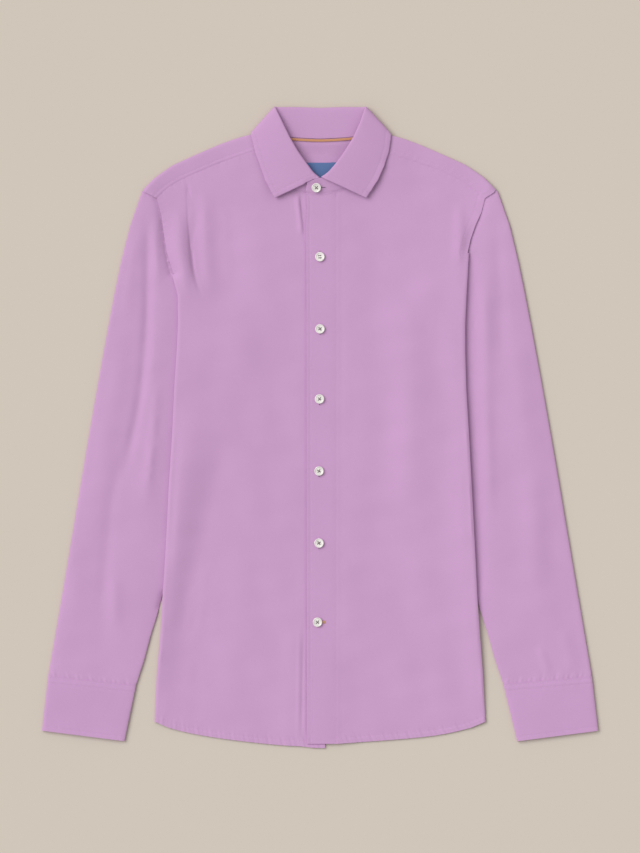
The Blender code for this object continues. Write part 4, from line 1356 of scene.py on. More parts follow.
@dataclass
class ClothPiece:
    """One cut and sewn piece of the shirt, refined from its node.

    Attributes:
        node: The node that it stands for.
        slot: The record's material slot. Not used.
        finish: Its finish.
        flat: Width and length of the cloth that it is cut from, in metres. Not used.
        area: Flat area of its cut, in square metres. Not used.
        rests_on: Nodes that it lies on. Not used.
        folds: Its soft ridges and troughs.
        seams: Its sewn edges.
        grain: Way of the wales, as a flat vector.
        levels: How many times the form is subdivided.
        crease: How crisp its rim is.
        longest: Longest edge of the form before it is subdivided.
        settle: Reach over which the form's facets are smoothed out, or 0.
        ripple: Height of its low uneven waves.
        lifts: Where its edge is lifted off what is below it.
        trims: Its corners turned in, spots drawn under a neighbour and edges let out.
        room: The workroom, set like all below as the piece is built.
        form: The node's form.
        piece: The piece's object.
        co: Its vertices in millimetres.
        share: 1 for the vertices of the top layer, falling to 0 for those below.
    """

    node: str
    slot: str
    finish: Finish
    flat: Spot | None
    area: float | None
    rests_on: tuple[str, ...] = ()
    folds: tuple[Fold, ...] = ()
    seams: tuple[Seam, ...] = ()
    grain: Spot = (0.0, 1.0)
    levels: int = 3
    crease: float = 0.2
    longest: float = 22.0
    settle: float = 0.0
    ripple: float = 0.0
    lifts: tuple[Fold, ...] = ()
    trims: tuple[Trim | Tug | LetOut | Narrowed, ...] = ()
    room: Workroom = field(init=False)
    form: Form = field(init=False)
    piece: Object = field(init=False)
    co: Array = field(init=False)
    share: Array = field(init=False)

    SEWN_REACH = 3.6
    SEAM_CELLS = (2.4, 1.3)
    FINE_REACH = 2.6
    RIM = 0.6
    CLOSE_UP = 0.58
    OVERLAP = 3.0
    LAP = 1.5
    BLEND = 7.0
    EASE_REACH = 10.0
    EASE_LENGTH = 24.0
    PRESS_REACH = 2.6
    PRESS_LEAVES = (0.4, 0.08)
    LEAST = 2.1
    GROUND = 1.02
    NARROW = 4.5
    UNDER = 0.8
    LAYER = 1.35
    LAYER_FADE = 2.2
    SHALLOW = -0.3
    MEET_FADE = 1.8
    RIPPLE_PITCH = 48.0
    RIM_FADE = 14.0
    SUNK_FADE = 4.0
    SEAM_REACH = 30.0
    RIM_ANGLE = math.radians(55)

    def build(self, room: Workroom) -> None:
        """Makes the piece and its stitches.

        Args:
            room: The workroom.
        """
        self.room, self.form = room, room.forms[self.node]
        piece = self.piece = self.refined()
        self.refine_seams()
        self.co = coordinates(piece.data)
        self.relax()
        self.raise_folds()
        for trim in self.trims:
            trim.apply(self.co)
        piece.data.vertices.foreach_set("co", (self.co * MM).ravel())
        piece.data.update()
        piece.data.set_sharp_from_angle(angle=self.RIM_ANGLE)
        self.map_grain()
        dressed(piece, self.finish)
        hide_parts(self.node)
        room.surfaces[self.node] = self.surface()
        with_pieces = self.sew()

    def refined(self) -> Object:
        """Subdivides the form into a fine, rounded mesh with a firm rim.

        Returns:
            The new object, not yet dressed.
        """
        bm = self.form.bm.copy()
        even_out(bm, self.longest)
        firm = bm.edges.layers.float.new("crease_edge")
        corner = bm.verts.layers.float.new("crease_vert")
        bm.normal_update()
        sewn = [self.room.forms[seam.edge].tree for seam in self.seams if seam.sewn]
        for edge in bm.edges:
            if len(edge.link_faces) == 2 and edge.calc_face_angle(0.0) > Form.SHARP:
                middle = (edge.verts[0].co + edge.verts[1].co) / 2
                joined = any(tree.find_nearest(middle, self.SEWN_REACH)[0] is not None for tree in sewn)
                edge[firm] = 1.0 if joined else self.crease
        for vertex in bm.verts:
            rims = [edge for edge in vertex.link_edges if edge[firm] > 0]
            if len(rims) == 2:
                one, other = (edge.other_vert(vertex).co - vertex.co for edge in rims)
                if one.angle(-other, 0.0) > Form.CORNER:
                    vertex[corner] = 1.0
            elif len(rims) > 2:
                vertex[corner] = 1.0
        bm.transform(Matrix.Scale(MM, 4))
        mesh = bpy.data.meshes.new(f"{self.node}_cloth")
        bm.to_mesh(mesh)
        bm.free()
        piece = linked(mesh.name, mesh)
        modifier = piece.modifiers.new("refine", "SUBSURF")
        modifier.levels = self.levels
        modifier.render_levels = self.levels
        modifier.use_limit_surface = False
        modifier.quality = 1
        bpy.ops.object.select_all(action="DESELECT")
        bpy.context.view_layer.objects.active = piece
        bpy.ops.object.modifier_apply(modifier=modifier.name)
        for name in ("crease_edge", "crease_vert", "custom_normal", "sharp_edge"):
            attribute = piece.data.attributes.get(name)
            if attribute:
                piece.data.attributes.remove(attribute)
        return piece

    def refine_seams(self) -> None:
        """Splits the faces beside the seams, so that they can hold welts and grooves."""
        bm = bmesh.new()
        bm.from_mesh(self.piece.data)
        bands = [(spaced(curve.points, 4.0), seam.width + self.FINE_REACH)
                 for seam in self.seams for curve in self.room.edges(self.node, seam)]
        bands += [(fold.line(), 2.0 * fold.spread) for fold in self.folds if fold.spread < self.NARROW]
        for finest in self.SEAM_CELLS:
            bm.normal_update()
            faces = list(bm.faces)
            centres = np.array([face.calc_center_median() for face in faces]) / MM
            near = np.zeros(len(faces), bool)
            for line, width in bands:
                near |= nearest_on(line, centres, width + 1.0)[0] < width
            split = set()
            for k in np.flatnonzero(near):
                top = self.form.top(centres[k, 0], centres[k, 1])
                if faces[k].normal.z > 0.2 and (top is None or top - centres[k, 2] < Form.TOP_DEPTH):
                    split |= {edge for edge in faces[k].edges if edge.calc_length() > finest * MM}
            bmesh.ops.subdivide_edges(bm, edges=list(split), cuts=1, use_grid_fill=True)
            bmesh.ops.triangulate(bm, faces=[face for face in bm.faces if len(face.verts) > 4])
        bm.to_mesh(self.piece.data)
        bm.free()
        smoothed(self.piece.data)

    def surface(self) -> BVHTree:
        """Returns: the piece's surface as it is now, in millimetres."""
        faces = [tuple(face.vertices) for face in self.piece.data.polygons]
        return BVHTree.FromPolygons(self.co.tolist(), faces)

    def top_share(self, tree: BVHTree) -> Array:
        """Tells which vertices belong to the piece's top layer.

        Args:
            tree: The piece's surface.

        Returns:
            1 on the top layer, falling to 0 round a fold to the layers below it.
        """
        normals = np.empty(len(self.co) * 3)
        self.piece.data.vertices.foreach_get("normal", normals)
        share = np.ones(len(self.co))
        for k, (point, normal) in enumerate(zip(self.co, normals.reshape(-1, 3))):
            hit = fall(tree, point[0] - normal[0] * self.UNDER, point[1] - normal[1] * self.UNDER)
            if hit:
                share[k] = 1.0 - smooth((hit.z - point[2] - self.LAYER) / self.LAYER_FADE)
        return share * smooth((self.co[:, 2] - self.GROUND) / 0.6)

    def relax(self) -> None:
        """Smooths the facets of the form out of the top layer."""
        tree = self.surface()
        self.share = self.top_share(tree)
        if not self.settle:
            return
        lay = self.room.lay
        heights = lay.top_map(tree, self.form.bm.verts)
        present = np.isfinite(heights)
        filled = np.where(present, heights, 0.0)
        cover = lay.blurred(present.astype(float), self.settle)
        mean = lay.blurred(filled, self.settle) / np.maximum(cover, 1e-6)
        inner = smooth((cover - 0.72) / 0.26)
        change = np.where(present, (mean - filled) * inner, 0.0)
        self.co[:, 2] += lay.sample(change, self.co) * self.share

    def raise_folds(self) -> None:
        """Lifts the folds, welts and waves out of the top layer."""
        co = self.co
        lay = self.room.lay
        free = lay.sample(lay.freedom(self.node), co)
        shown = 1.0 - smooth(2.0 * lay.sample(lay.hidden(self.node), co) - 1.0)
        broad = self.ripple * (1.0 + ripple(co, self.RIPPLE_PITCH, 3)) / 2
        for fold in self.folds:
            broad = broad + fold.relief(co)
        edges = np.full(len(co), np.inf)
        for curve in self.form.curves:
            edges = np.minimum(edges, nearest_on(spaced(curve.points, 8.0), co, 16.0)[0])
        sunk = np.minimum(broad, 0.0)
        for k in np.flatnonzero(sunk < self.SHALLOW):
            sunk[k] = max(sunk[k], min(self.LEAST - (self.form.top(co[k, 0], co[k, 1]) or co[k, 2]), 0.0))
        rise = np.maximum(broad, 0.0) * smooth(edges / self.RIM_FADE) * free
        rise = rise + sunk * smooth(edges / self.SUNK_FADE)
        for lift in self.lifts:
            rise += lift.relief(co)
        for number, seam in enumerate(self.seams):
            curves = self.room.edges(self.node, seam)
            if not curves:
                log.warning("%s has no edge at %s", self.node, seam.edge)
            for curve in curves:
                distance, along = nearest_on(spaced(curve.points, 5.0), co, self.SEAM_REACH)
                near = distance < self.SEAM_REACH
                held = np.minimum(1.0, free[near] * 4 + seam.sewn)
                rise[near] += shown[near] * seam.relief(
                    distance[near], along[near], number + len(self.node)) * held
                if not seam.sewn:
                    continue
                if seam.join is Join.PRESS:
                    self.press_down(distance)
                elif seam.join is Join.EASE:
                    self.ease_down(distance, curve, seam)
                else:
                    self.draw_to(distance, curve, seam, shown)
        co[:, 2] += rise * self.share

    def press_down(self, distance: Array) -> None:
        """Sews a rim flat onto the pieces below it.

        Args:
            distance: Each vertex's distance from the edge.
        """
        co = self.co
        grounds = [self.room.surfaces[seam.edge] for seam in self.seams if seam.join is Join.PRESS]
        for k in np.flatnonzero(distance < self.PRESS_REACH):
            hits = [fall(tree, co[k, 0], co[k, 1]) for tree in grounds]
            tops = [hit.z for hit in hits if hit]
            if not tops:
                continue
            upper = co[k, 2] > (self.form.top(co[k, 0], co[k, 1]) or co[k, 2]) - 0.55
            spare = co[k, 2] - max(tops) - self.PRESS_LEAVES[0 if upper else 1]
            co[k, 2] -= max(spare, -1.5) * (1.0 - float(smooth(distance[k] / self.PRESS_REACH)))

    def ease_down(self, distance: Array, curve: Curve, seam: Seam) -> None:
        """Brings an edge softly down onto a lower neighbour.

        Args:
            distance: Each vertex's distance from the edge.
            curve: The edge.
            seam: How it is sewn.
        """
        line = spaced(curve.points, 2.0)
        inner = curve.inward * self.LAP * leftward(line)
        other = self.room.forms[seam.edge]
        tops = np.array([other.top(*place) or np.nan for place in line[:, :2] - inner])
        known = np.flatnonzero(np.isfinite(tops))
        if not len(known):
            return
        tops = np.interp(np.arange(len(tops)), known, tops[known]) + self.LAP
        lower = np.array([self.form.lower(*place) or 0.0 for place in line[:, :2] + inner])
        drop = np.minimum(evened(np.maximum(tops, lower + self.LAP) - line[:, 2], 4), 0.0)
        drop *= smooth((line[:, 1] - seam.above) / self.EASE_LENGTH)
        near = np.flatnonzero(distance < self.EASE_REACH)
        at = closest(line, self.co[near])
        self.co[near, 2] += drop[at] * (1.0 - smooth(distance[near] / self.EASE_REACH)) * self.share[near]

    def draw_to(self, distance: Array, curve: Curve, seam: Seam, shown: Array) -> None:
        """Draws a sewn rim to its neighbour's, to meet it or to slide in under it.

        Args:
            distance: Each vertex's distance from the edge.
            curve: The edge.
            seam: How it is sewn.
            shown: 0 for the vertices that are out of sight, and 1 for the others.
        """
        co = self.co
        line = spaced(curve.points, 0.5)
        forms = self.room.forms
        stretches = self.room.in_sight(seam.edge, forms[seam.edge].edges(self.node, forms))
        if not stretches:
            return
        theirs = np.vstack([spaced(stretch.points, 0.5) for stretch in stretches])
        gap = theirs[closest(theirs, line)] - line
        left = leftward(line)
        near_by = smooth(
            (Form.BESIDE + self.MEET_FADE - np.hypot(gap[:, 0], gap[:, 1])) / self.MEET_FADE)
        side = -(gap[:, :2] * left).sum(axis=1)
        tuck = seam.join is Join.TUCK
        side = side + self.OVERLAP * curve.inward if tuck else side * self.CLOSE_UP
        side = evened(side * near_by, 6)
        near = np.flatnonzero(distance < self.BLEND)
        at = closest(line, co[near])
        if not tuck:
            rise = evened(gap[:, 2] * near_by, 6) / 2
            rise = rise[at] * (1.0 - smooth(distance[near] / self.BLEND)) * self.share[near] * shown[near]
            co[near, 2] += rise
        shift = side[at] * (distance[near] < self.RIM) * (self.share[near] > 0.4)
        co[near, :2] -= left[at] * shift[:, None]

    def map_grain(self) -> None:
        """Lays the knit along the piece's grain."""
        way = np.array(self.grain) / math.hypot(*self.grain)
        across = self.co[:, 0] * way[1] - self.co[:, 1] * way[0]
        along = self.co[:, 0] * way[0] + self.co[:, 1] * way[1]
        mesh = self.piece.data
        corner = np.empty(len(mesh.loops), int)
        mesh.loops.foreach_get("vertex_index", corner)
        places = np.stack([across, along], axis=1)[corner]
        mesh.uv_layers.new(name=GRAIN).data.foreach_set("uv", (places * MM).ravel())

    def sew(self) -> list[Object]:
        """Sews the seams' rows of stitches.

        Returns:
            The stitches, as one piece in a list, or an empty list.
        """
        lines = [(curve.inset(row), seam.pitch) for seam in self.seams
                 for curve in self.room.edges(self.node, seam) for row in seam.rows]
        vertices, faces = Sewing().rows(lines, self.room.surfaces[self.node])
        if not faces:
            return []
        mesh = bpy.data.meshes.new(f"{self.node}_stitches")
        mesh.from_pydata((vertices * MM).tolist(), [], faces)
        mesh.validate()
        smoothed(mesh)
        return [dressed(linked(mesh.name, mesh), LILAC_THREAD_AND_HIGHLIGHT)]


# ---- modelling by hand
def begin_edit(piece: Object) -> None:
    """Opens one object for editing, with nothing else selected."""
    bpy.ops.object.select_all(action="DESELECT")
    piece.select_set(True)
    bpy.context.view_layer.objects.active = piece
    bpy.ops.object.mode_set(mode="EDIT")


def end_edit() -> None:
    """Goes back to object mode."""
    bpy.ops.object.mode_set(mode="OBJECT")


def pick(piece: Object, kind: str, test: Callable[[object], bool]) -> None:
    """Selects parts of the mesh that is being edited.

    Args:
        piece: The object in edit mode.
        kind: VERT, EDGE or FACE.
        test: Tells whether a part is wanted.
    """
    bpy.ops.mesh.select_all(action="DESELECT")
    bpy.ops.mesh.select_mode(type=kind)
    bm = bmesh.from_edit_mesh(piece.data)
    for thing in {"VERT": bm.verts, "EDGE": bm.edges, "FACE": bm.faces}[kind]:
        if test(thing):
            thing.select_set(True)
    bmesh.update_edit_mesh(piece.data)


def pull(height: float, width: float) -> None:
    """Extrudes the selected cap up by a height and multiplies its width."""
    bpy.ops.mesh.extrude_region_move(TRANSFORM_OT_translate={"value": (0.0, 0.0, height)})
    bpy.ops.transform.resize(value=(width, width, 1.0), center_override=(0.0, 0.0, 0.0))


def joined(pieces: list[Object]) -> Object:
    """Joins objects into the first of them.

    Args:
        pieces: The objects.

    Returns:
        The one that is left.
    """
    bpy.ops.object.select_all(action="DESELECT")
    for piece in pieces:
        piece.select_set(True)
    bpy.context.view_layer.objects.active = pieces[0]
    bpy.ops.object.join()
    return pieces[0]


def moved(x: float, y: float, z: float, turn: float = 0.0) -> Matrix:
    """Returns: a shift, after a turn about Z in degrees."""
    return Matrix.Translation((x, y, z)) @ Matrix.Rotation(math.radians(turn), 4, "Z")


def copied(model: Object, name: str, place: Matrix) -> Object:
    """Copies a model, with a mesh of its own.

    Args:
        model: The model, in millimetres.
        name: The copy's name.
        place: Where the copy goes.

    Returns:
        The copy, with its place in its mesh.
    """
    mesh = model.data.copy()
    mesh.name = name
    mesh.transform(place)
    return linked(name, mesh)


# ---- sub-assemblies
@dataclass
class Body:
    """Back, yoke and the two fronts."""

    hem: float = 6.0
    armhole: float = 8.4
    yoke_row: float = 4.2
    ripple: float = 0.5
    left_folds: tuple[Fold, ...] = (
        Fold(((168, 272), (169, 232), (168, 186)), 2.0, 6.0),
        Fold(((110, 140), (107, 30), (107, -150), (130, -190), (160, -290)), 1.8, 22.0),
        Fold(((62, 190), (60, 20), (70, -200)), 1.0, 26.0),
        Fold(((175, 214), (174, 180), (173, 140)), -0.35, 1.3),
    )
    right_folds: tuple[Fold, ...] = (
        Fold(((-151, 290), (-150, 250), (-149, 211), (-145, 175), (-134, 150)), -1.5, 6.5),
        Fold(((-168, 268), (-167, 215), (-158, 150)), 2.4, 7.5),
        Fold(((-138, 288), (-137, 205), (-128, 150)), 1.3, 8.0),
        Fold(((-123, 296), (-123, 200), (-122, 92)), -1.3, 20.0),
        Fold(((-108, 20), (-130, -80), (-149, -162), (-177, -296)), -1.7, 14.0),
        Fold(((-150, 30), (-160, -60), (-185, -200)), 1.8, 15.0),
        Fold(((-18.4, -225), (-20.2, -290), (-21.5, -386)), -0.45, 1.7),
        Fold(((-24, -232), (-25, -300), (-26, -386)), 0.45, 2.6),
        Fold(((-15.4, 240), (-15.4, 0), (-15.4, -386)), -0.5, 1.0, 0.05),
        Fold(((-22.5, 290), (-21.5, 270), (-18.5, 250), (-16.5, 232), (-15.5, 215)), -2.2, 2.1, 0.2),
        Fold(((-27, 287), (-26, 268), (-23, 245), (-21, 226)), 1.5, 3.2, 0.2),
        Fold(((-160.5, 310), (-155.8, 264), (-154.4, 234), (-154.2, 213), (-151.5, 187), (-146.5, 168),
              (-138, 146)), -2.1, 2.6, 0.38),
    )

    def build(self, room: Workroom) -> None:
        """Makes the four pieces.

        Args:
            room: The workroom.
        """
        self.back().build(room)
        self.yoke().build(room)
        for side, folds in ((Side.RIGHT, self.right_folds), (Side.LEFT, self.left_folds)):
            self.front(side, folds).build(room)

    def back(self) -> ClothPiece:
        """Returns: the back, which lies on the surface."""
        return ClothPiece("back", "shirt_cloth", LILAC, (0.376, 0.620), 0.156, levels=1, longest=30.0)

    def yoke(self) -> ClothPiece:
        """Returns: the yoke, folded at the shoulders over the fronts."""
        return ClothPiece(
            "yoke", "shirt_cloth", LILAC, (0.423, 0.160), 0.0444, ("back",),
            seams=(Seam("front_left", (self.yoke_row,), 0.3, 0.1, ditch=0.25),
                   Seam("front_right", (self.yoke_row,), 0.2, 0.1, ditch=0.35),
                   Seam("sleeve_left", (), 0.0, 0.05, join=Join.EASE),
                   Seam("sleeve_right", (), 0.0, 0.05, join=Join.EASE)),
            grain=(1.0, 0.0), ripple=0.2, crease=0.45,
        )

    def front(self, side: Side, folds: tuple[Fold, ...]) -> ClothPiece:
        """Shapes one front.

        Args:
            side: Its half.
            folds: Its folds.

        Returns:
            The front, whose side is turned under.
        """
        name = side.value
        left = side is Side.LEFT
        rows, lift, above = ((self.armhole,), 0.15, 200.0) if left else ((), 0.1, 164.0)
        seams = (
            Seam(f"sleeve_{name}", rows, lift, 0.1, join=Join.EASE, above=above),
            Seam("yoke", (), 0.1, 0.1, ditch=0.2),
            Seam("collar_stand", (), 0.0, 0.0, ditch=0.0, join=Join.TUCK),
            Seam(Facing.HEM, (self.hem,), 0.35, 0.2),
            *((Seam("placket", (), 0.0, 0.05),) if left else ()),
        )
        size = ((0.265, 0.715), 0.1463) if left else ((0.290, 0.725), 0.1611)
        return ClothPiece(
            f"front_{name}", "shirt_cloth", LILAC, *size, ("back", f"sleeve_{name}"), folds, seams,
            settle=12.0, ripple=self.ripple, levels=2, longest=14.0, crease=0.45,
            trims=(Tug((20.0, 278.6), (-3.2, 0.0, -0.5), 6.0),) if left else ())


@dataclass
class Sleeve:
    """One sleeve with its cuff."""

    side: Side
    band: float = 2.0
    second_row: float = 8.0
    left_folds: tuple[Fold, ...] = (
        Fold(((184, 217), (181, 185), (180, 115), (182, 40), (185, -60), (187.5, -122), (192, -214)),
             -4.2, 6.4, 0.14),
        Fold(((199, 196), (198, 115), (200, 40), (203, -60), (205, -130)), 1.6, 7.5, 0.2),
        Fold(((210, 262), (216, 190), (218, 60)), -1.3, 9.0),
        Fold(((258, -30), (258, -110), (262, -205)), 1.6, 15.0),
        Fold(((232, 120), (246, 0), (262, -60)), 1.2, 14.0),
        Fold(((262, -262), (272, -288), (277, -306)), 1.1, 5.0),
        Fold(((290, -240), (300, -275), (304, -300)), 1.0, 8.0),
    )
    right_folds: tuple[Fold, ...] = (
        Fold(((-206, 266), (-206, 200), (-206, 120), (-214, 30), (-226, -20), (-236, -70)),
             -2.4, 5.6, 0.22),
        Fold(((-222, 0), (-240, -50), (-251, -90), (-257, -180), (-263, -220), (-260, -262)),
             -0.9, 7.5, 0.3),
        Fold(((-196, 258), (-196, 215), (-193, 165)), 1.2, 5.5),
        Fold(((-194, 60), (-202, -40), (-209, -100)), 1.6, 5.0),
        Fold(((-245, -176), (-245, -246)), 1.4, 7.0),
        Fold(((-228, 150), (-240, 40), (-262, -60), (-275, -200)), 1.2, 14.0),
        Fold(((-222, 250), (-226, 190), (-232, 120)), 1.0, 9.0),
    )

    def build(self, room: Workroom) -> None:
        """Makes the sleeve and the cuff.

        Args:
            room: The workroom.
        """
        name = self.side.value
        sign = self.side.sign
        left = self.side is Side.LEFT
        ClothPiece(
            f"sleeve_{name}", "shirt_cloth", LILAC, (0.360, 0.620), 0.1364,
            folds=self.left_folds if left else self.right_folds,
            seams=(Seam(f"front_{name}", (), 0.0, 0.05, dip=0.4 if left else 1.6, slope=4.5,
                        join=Join.TUCK),
                   Seam("yoke", (), 0.0, 0.0, dip=0.2, slope=3.0, join=Join.TUCK),
                   Seam(f"cuff_{name}", (), 0.0, 0.3, dip=0.2, slope=3.0)),
            grain=(sign * 0.21, -1.0), settle=12.0, ripple=0.45, levels=2, longest=14.0, crease=0.45,
            trims=(Tug((180.0, 209.5), (-5.0, 0.0, 0.0), 9.0) if left
                   else Trim((-197.2, -236.0), (-186.6, -196.0), 26.0),),
        ).build(room)
        ClothPiece(
            f"cuff_{name}", "collar_cloth", LILAC_DOUBLE, (0.220, 0.068), 0.0139,
            seams=(Seam(f"sleeve_{name}", (self.band, self.second_row), 0.1, 0.06),
                   Seam(Facing.HEM, (5.0,), 0.15, 0.08)),
            grain=(1.0, sign * 0.12), ripple=0.2, levels=2, longest=12.0, crease=0.45,
        ).build(room)


@dataclass
class Collar:
    """Stand, collar leaf, neck tape and the plain label."""

    topstitch: float = 6.4
    stand_row: float = 1.7
    stand_on: tuple[str, ...] = ("placket", "front_left", "front_right")
    leaf_edges: tuple[Facing, ...] = (Facing.LEFT, Facing.RIGHT, Facing.HEM_LEFT, Facing.HEM_RIGHT)

    def build(self, room: Workroom) -> None:
        """Makes the four pieces.

        Args:
            room: The workroom.
        """
        ClothPiece(
            "collar_stand", "collar_cloth", LILAC_DOUBLE, (0.420, 0.031), 0.0096, ("yoke",),
            seams=(*(Seam(name, (self.stand_row,), 0.0, 0.03, join=Join.PRESS) for name in self.stand_on),
                   Seam("collar", (), 0.0, 0.0, ditch=0.0)),
            grain=(1.0, 0.0), longest=12.0,
        ).build(room)
        ClothPiece(
            "collar", "collar_cloth", LILAC_DOUBLE, (0.440, 0.062), 0.0169,
            ("yoke", "front_left", "front_right"),
            seams=(*(Seam(facing, (self.topstitch,), 0.12, 0.06) for facing in self.leaf_edges),
                   Seam("collar_stand", (), 0.0, 0.0, ditch=0.0)),
            grain=(1.0, 0.0), longest=14.0, lifts=(Fold(((87, 318), (81, 296), (63, 273)), 2.6, 9.0, 0.3),),
        ).build(room)
        ClothPiece(
            "neck_tape", "neck_tape", TAPE_TWILL, None, None, ("yoke",),
            grain=(0.0, 1.0), levels=2, longest=6.0, trims=(Narrowed(0.68, -1.8),),
        ).build(room)
        ClothPiece(
            "label", "woven_label", LABEL_WEAVE, (0.055, 0.028), 0.00154, ("yoke",),
            grain=(0.0, 1.0), levels=2, longest=6.0,
        ).build(room)


@dataclass
class Placket:
    """The placket."""

    edge_row: float = 3.6

    def build(self, room: Workroom) -> None:
        """Makes the placket."""
        ClothPiece(
            "placket", "collar_cloth", LILAC_DOUBLE, (0.0357, 0.658), 0.0218, ("front_right",),
            seams=(Seam(Facing.RIGHT, (self.edge_row,), 0.12, 0.06),
                   Seam("front_left", (), 0.0, 0.05, ditch=0.1),
                   Seam("collar_stand", (), 0.0, 0.0, ditch=0.0, join=Join.TUCK)),
            levels=2, longest=9.0, crease=0.5, trims=(LetOut(-3.0, -13.2, -2.4, 235.0),),
        ).build(room)


@dataclass
class Button:
    """The pattern of the shell buttons: a flared disc with a raised rim, a dish and four holes.

    Attributes:
        diameter: Width over all.
        foot: Width of the flat underside. Not used.
        height: Height of the rim.
        dish: Depth of the dish.
        hole: Width of a hole.
        spacing: Distance between two neighbouring holes.
        shank: How high the thread holds the button off the cloth.
    """

    diameter: float = 11.4
    foot: float = 6.8
    height: float = 2.6
    dish: float = 0.65
    hole: float = 1.25
    spacing: float = 2.7
    shank: float = 0.25

    SIDES = 56
    RIM_AND_DISH = ((0.35, 0.975), (0.22, 0.96), (0.1, 0.965), (0.02, 0.95),
                    (-0.08, 0.955), (-0.2, 0.95), (-0.24, 0.94), (-0.11, 0.93), (-0.03, 0.9))
    UNDERSIDE = ((-0.45, 0.94), (-0.5, 0.86), (-0.35, 0.84), (-0.08, 0.93))

    def model(self) -> Object:
        """Returns: the button, standing on its foot at the origin, in millimetres."""
        bpy.ops.mesh.primitive_cylinder_add(
            vertices=self.SIDES, radius=self.diameter / 2, depth=0.5, end_fill_type="NGON",
            location=(0, 0, 1.65))
        button = bpy.context.object
        bpy.ops.object.transform_apply(location=True, rotation=True, scale=True)
        begin_edit(button)
        for side, steps in ((1, self.RIM_AND_DISH), (-1, self.UNDERSIDE)):
            pick(button, "FACE", lambda face: side * face.normal.z > 0.9)
            for rise, width in steps:
                pull(rise, width)
        end_edit()
        self.drill(button)
        bpy.ops.object.select_all(action="DESELECT")
        button.select_set(True)
        bpy.ops.object.shade_smooth_by_angle(angle=math.radians(38))
        return button

    def drill(self, button: Object) -> None:
        """Cuts the four holes and rounds their edges.

        Args:
            button: The button, which changes.
        """
        half = self.spacing / 2
        drills = []
        for x, y in ((half, half), (-half, half), (-half, -half), (half, -half)):
            bpy.ops.mesh.primitive_cylinder_add(
                vertices=20, radius=self.hole / 2, depth=3 * self.height, location=(x, y, self.height / 2))
            drills.append(bpy.context.object)
        cutter = joined(drills)
        bpy.context.view_layer.objects.active = button
        modifier = button.modifiers.new("holes", "BOOLEAN")
        modifier.operation = "DIFFERENCE"
        modifier.solver = "EXACT"
        modifier.object = cutter
        bpy.ops.object.modifier_apply(modifier=modifier.name)
        bpy.data.objects.remove(cutter)
        begin_edit(button)

        def is_brim(edge: bmesh.types.BMEdge) -> bool:
            """Tells whether an edge runs round the top of a hole."""
            off = [math.hypot(abs(vertex.co.x) - half, abs(vertex.co.y) - half) for vertex in edge.verts]
            return all(vertex.co.z > 1.2 and abs(away - self.hole / 2) < 0.02
                       for vertex, away in zip(edge.verts, off))

        pick(button, "EDGE", is_brim)
        bpy.ops.mesh.bevel(offset=0.14, segments=2, profile=0.5)
        end_edit()


@dataclass
class ButtonThread:
    """The thread that shows between a button's holes.

    Attributes:
        girth: Thickness of a strand.
        rise: How far its middle stands over the dish.
    """

    girth: float = 0.42
    rise: float = 0.55

    DEEP = 0.6

    def strand(self, span: float) -> Object:
        """Models two strands side by side, from one hole to another.

        Args:
            span: Distance between the two holes.

        Returns:
            The strands, along X.
        """
        bpy.ops.mesh.primitive_torus_add(major_radius=span / 2, minor_radius=self.girth / 2,
                                         major_segments=32, minor_segments=8, rotation=(math.pi / 2, 0, 0))
        strand = bpy.context.object
        bpy.ops.object.transform_apply(location=True, rotation=True, scale=True)
        begin_edit(strand)
        bpy.ops.mesh.select_all(action="SELECT")
        bpy.ops.mesh.bisect(plane_co=(0, 0, 0.001), plane_no=(0, 0, 1), use_fill=True, clear_inner=True)
        bpy.ops.mesh.select_all(action="SELECT")
        bpy.ops.transform.resize(value=(1.0, 1.0, (self.rise + self.DEEP) / (span / 2)),
                                 center_override=(0.0, 0.0, 0.0))
        bpy.ops.transform.translate(value=(0.0, -0.46 * self.girth, 0.0))
        bpy.ops.mesh.duplicate_move(TRANSFORM_OT_translate={"value": (0.0, 0.92 * self.girth, 0.0)})
        bpy.ops.mesh.select_all(action="SELECT")
        bpy.ops.mesh.normals_make_consistent(inside=False)
        end_edit()
        return strand

    def model(self, button: Button, way: Sewn) -> Object:
        """Models the thread of one button.

        Args:
            button: The button.
            way: How the thread runs.

        Returns:
            The thread in its place on the button's model, in millimetres.
        """
        level = button.height - button.dish - self.DEEP
        half = button.spacing / 2
        if way is Sewn.CROSS:
            first = self.strand(button.spacing * math.sqrt(2))
            second = copied(first, "strand", moved(0, 0, level + 0.8 * self.girth, -45.0))
            first.data.transform(moved(0, 0, level, 45.0))
        else:
            first = self.strand(button.spacing)
            second = copied(first, "strand", moved(0, -half, level))
            first.data.transform(moved(0, half, level))
        thread = joined([first, second])
        smoothed(thread.data)
        return thread


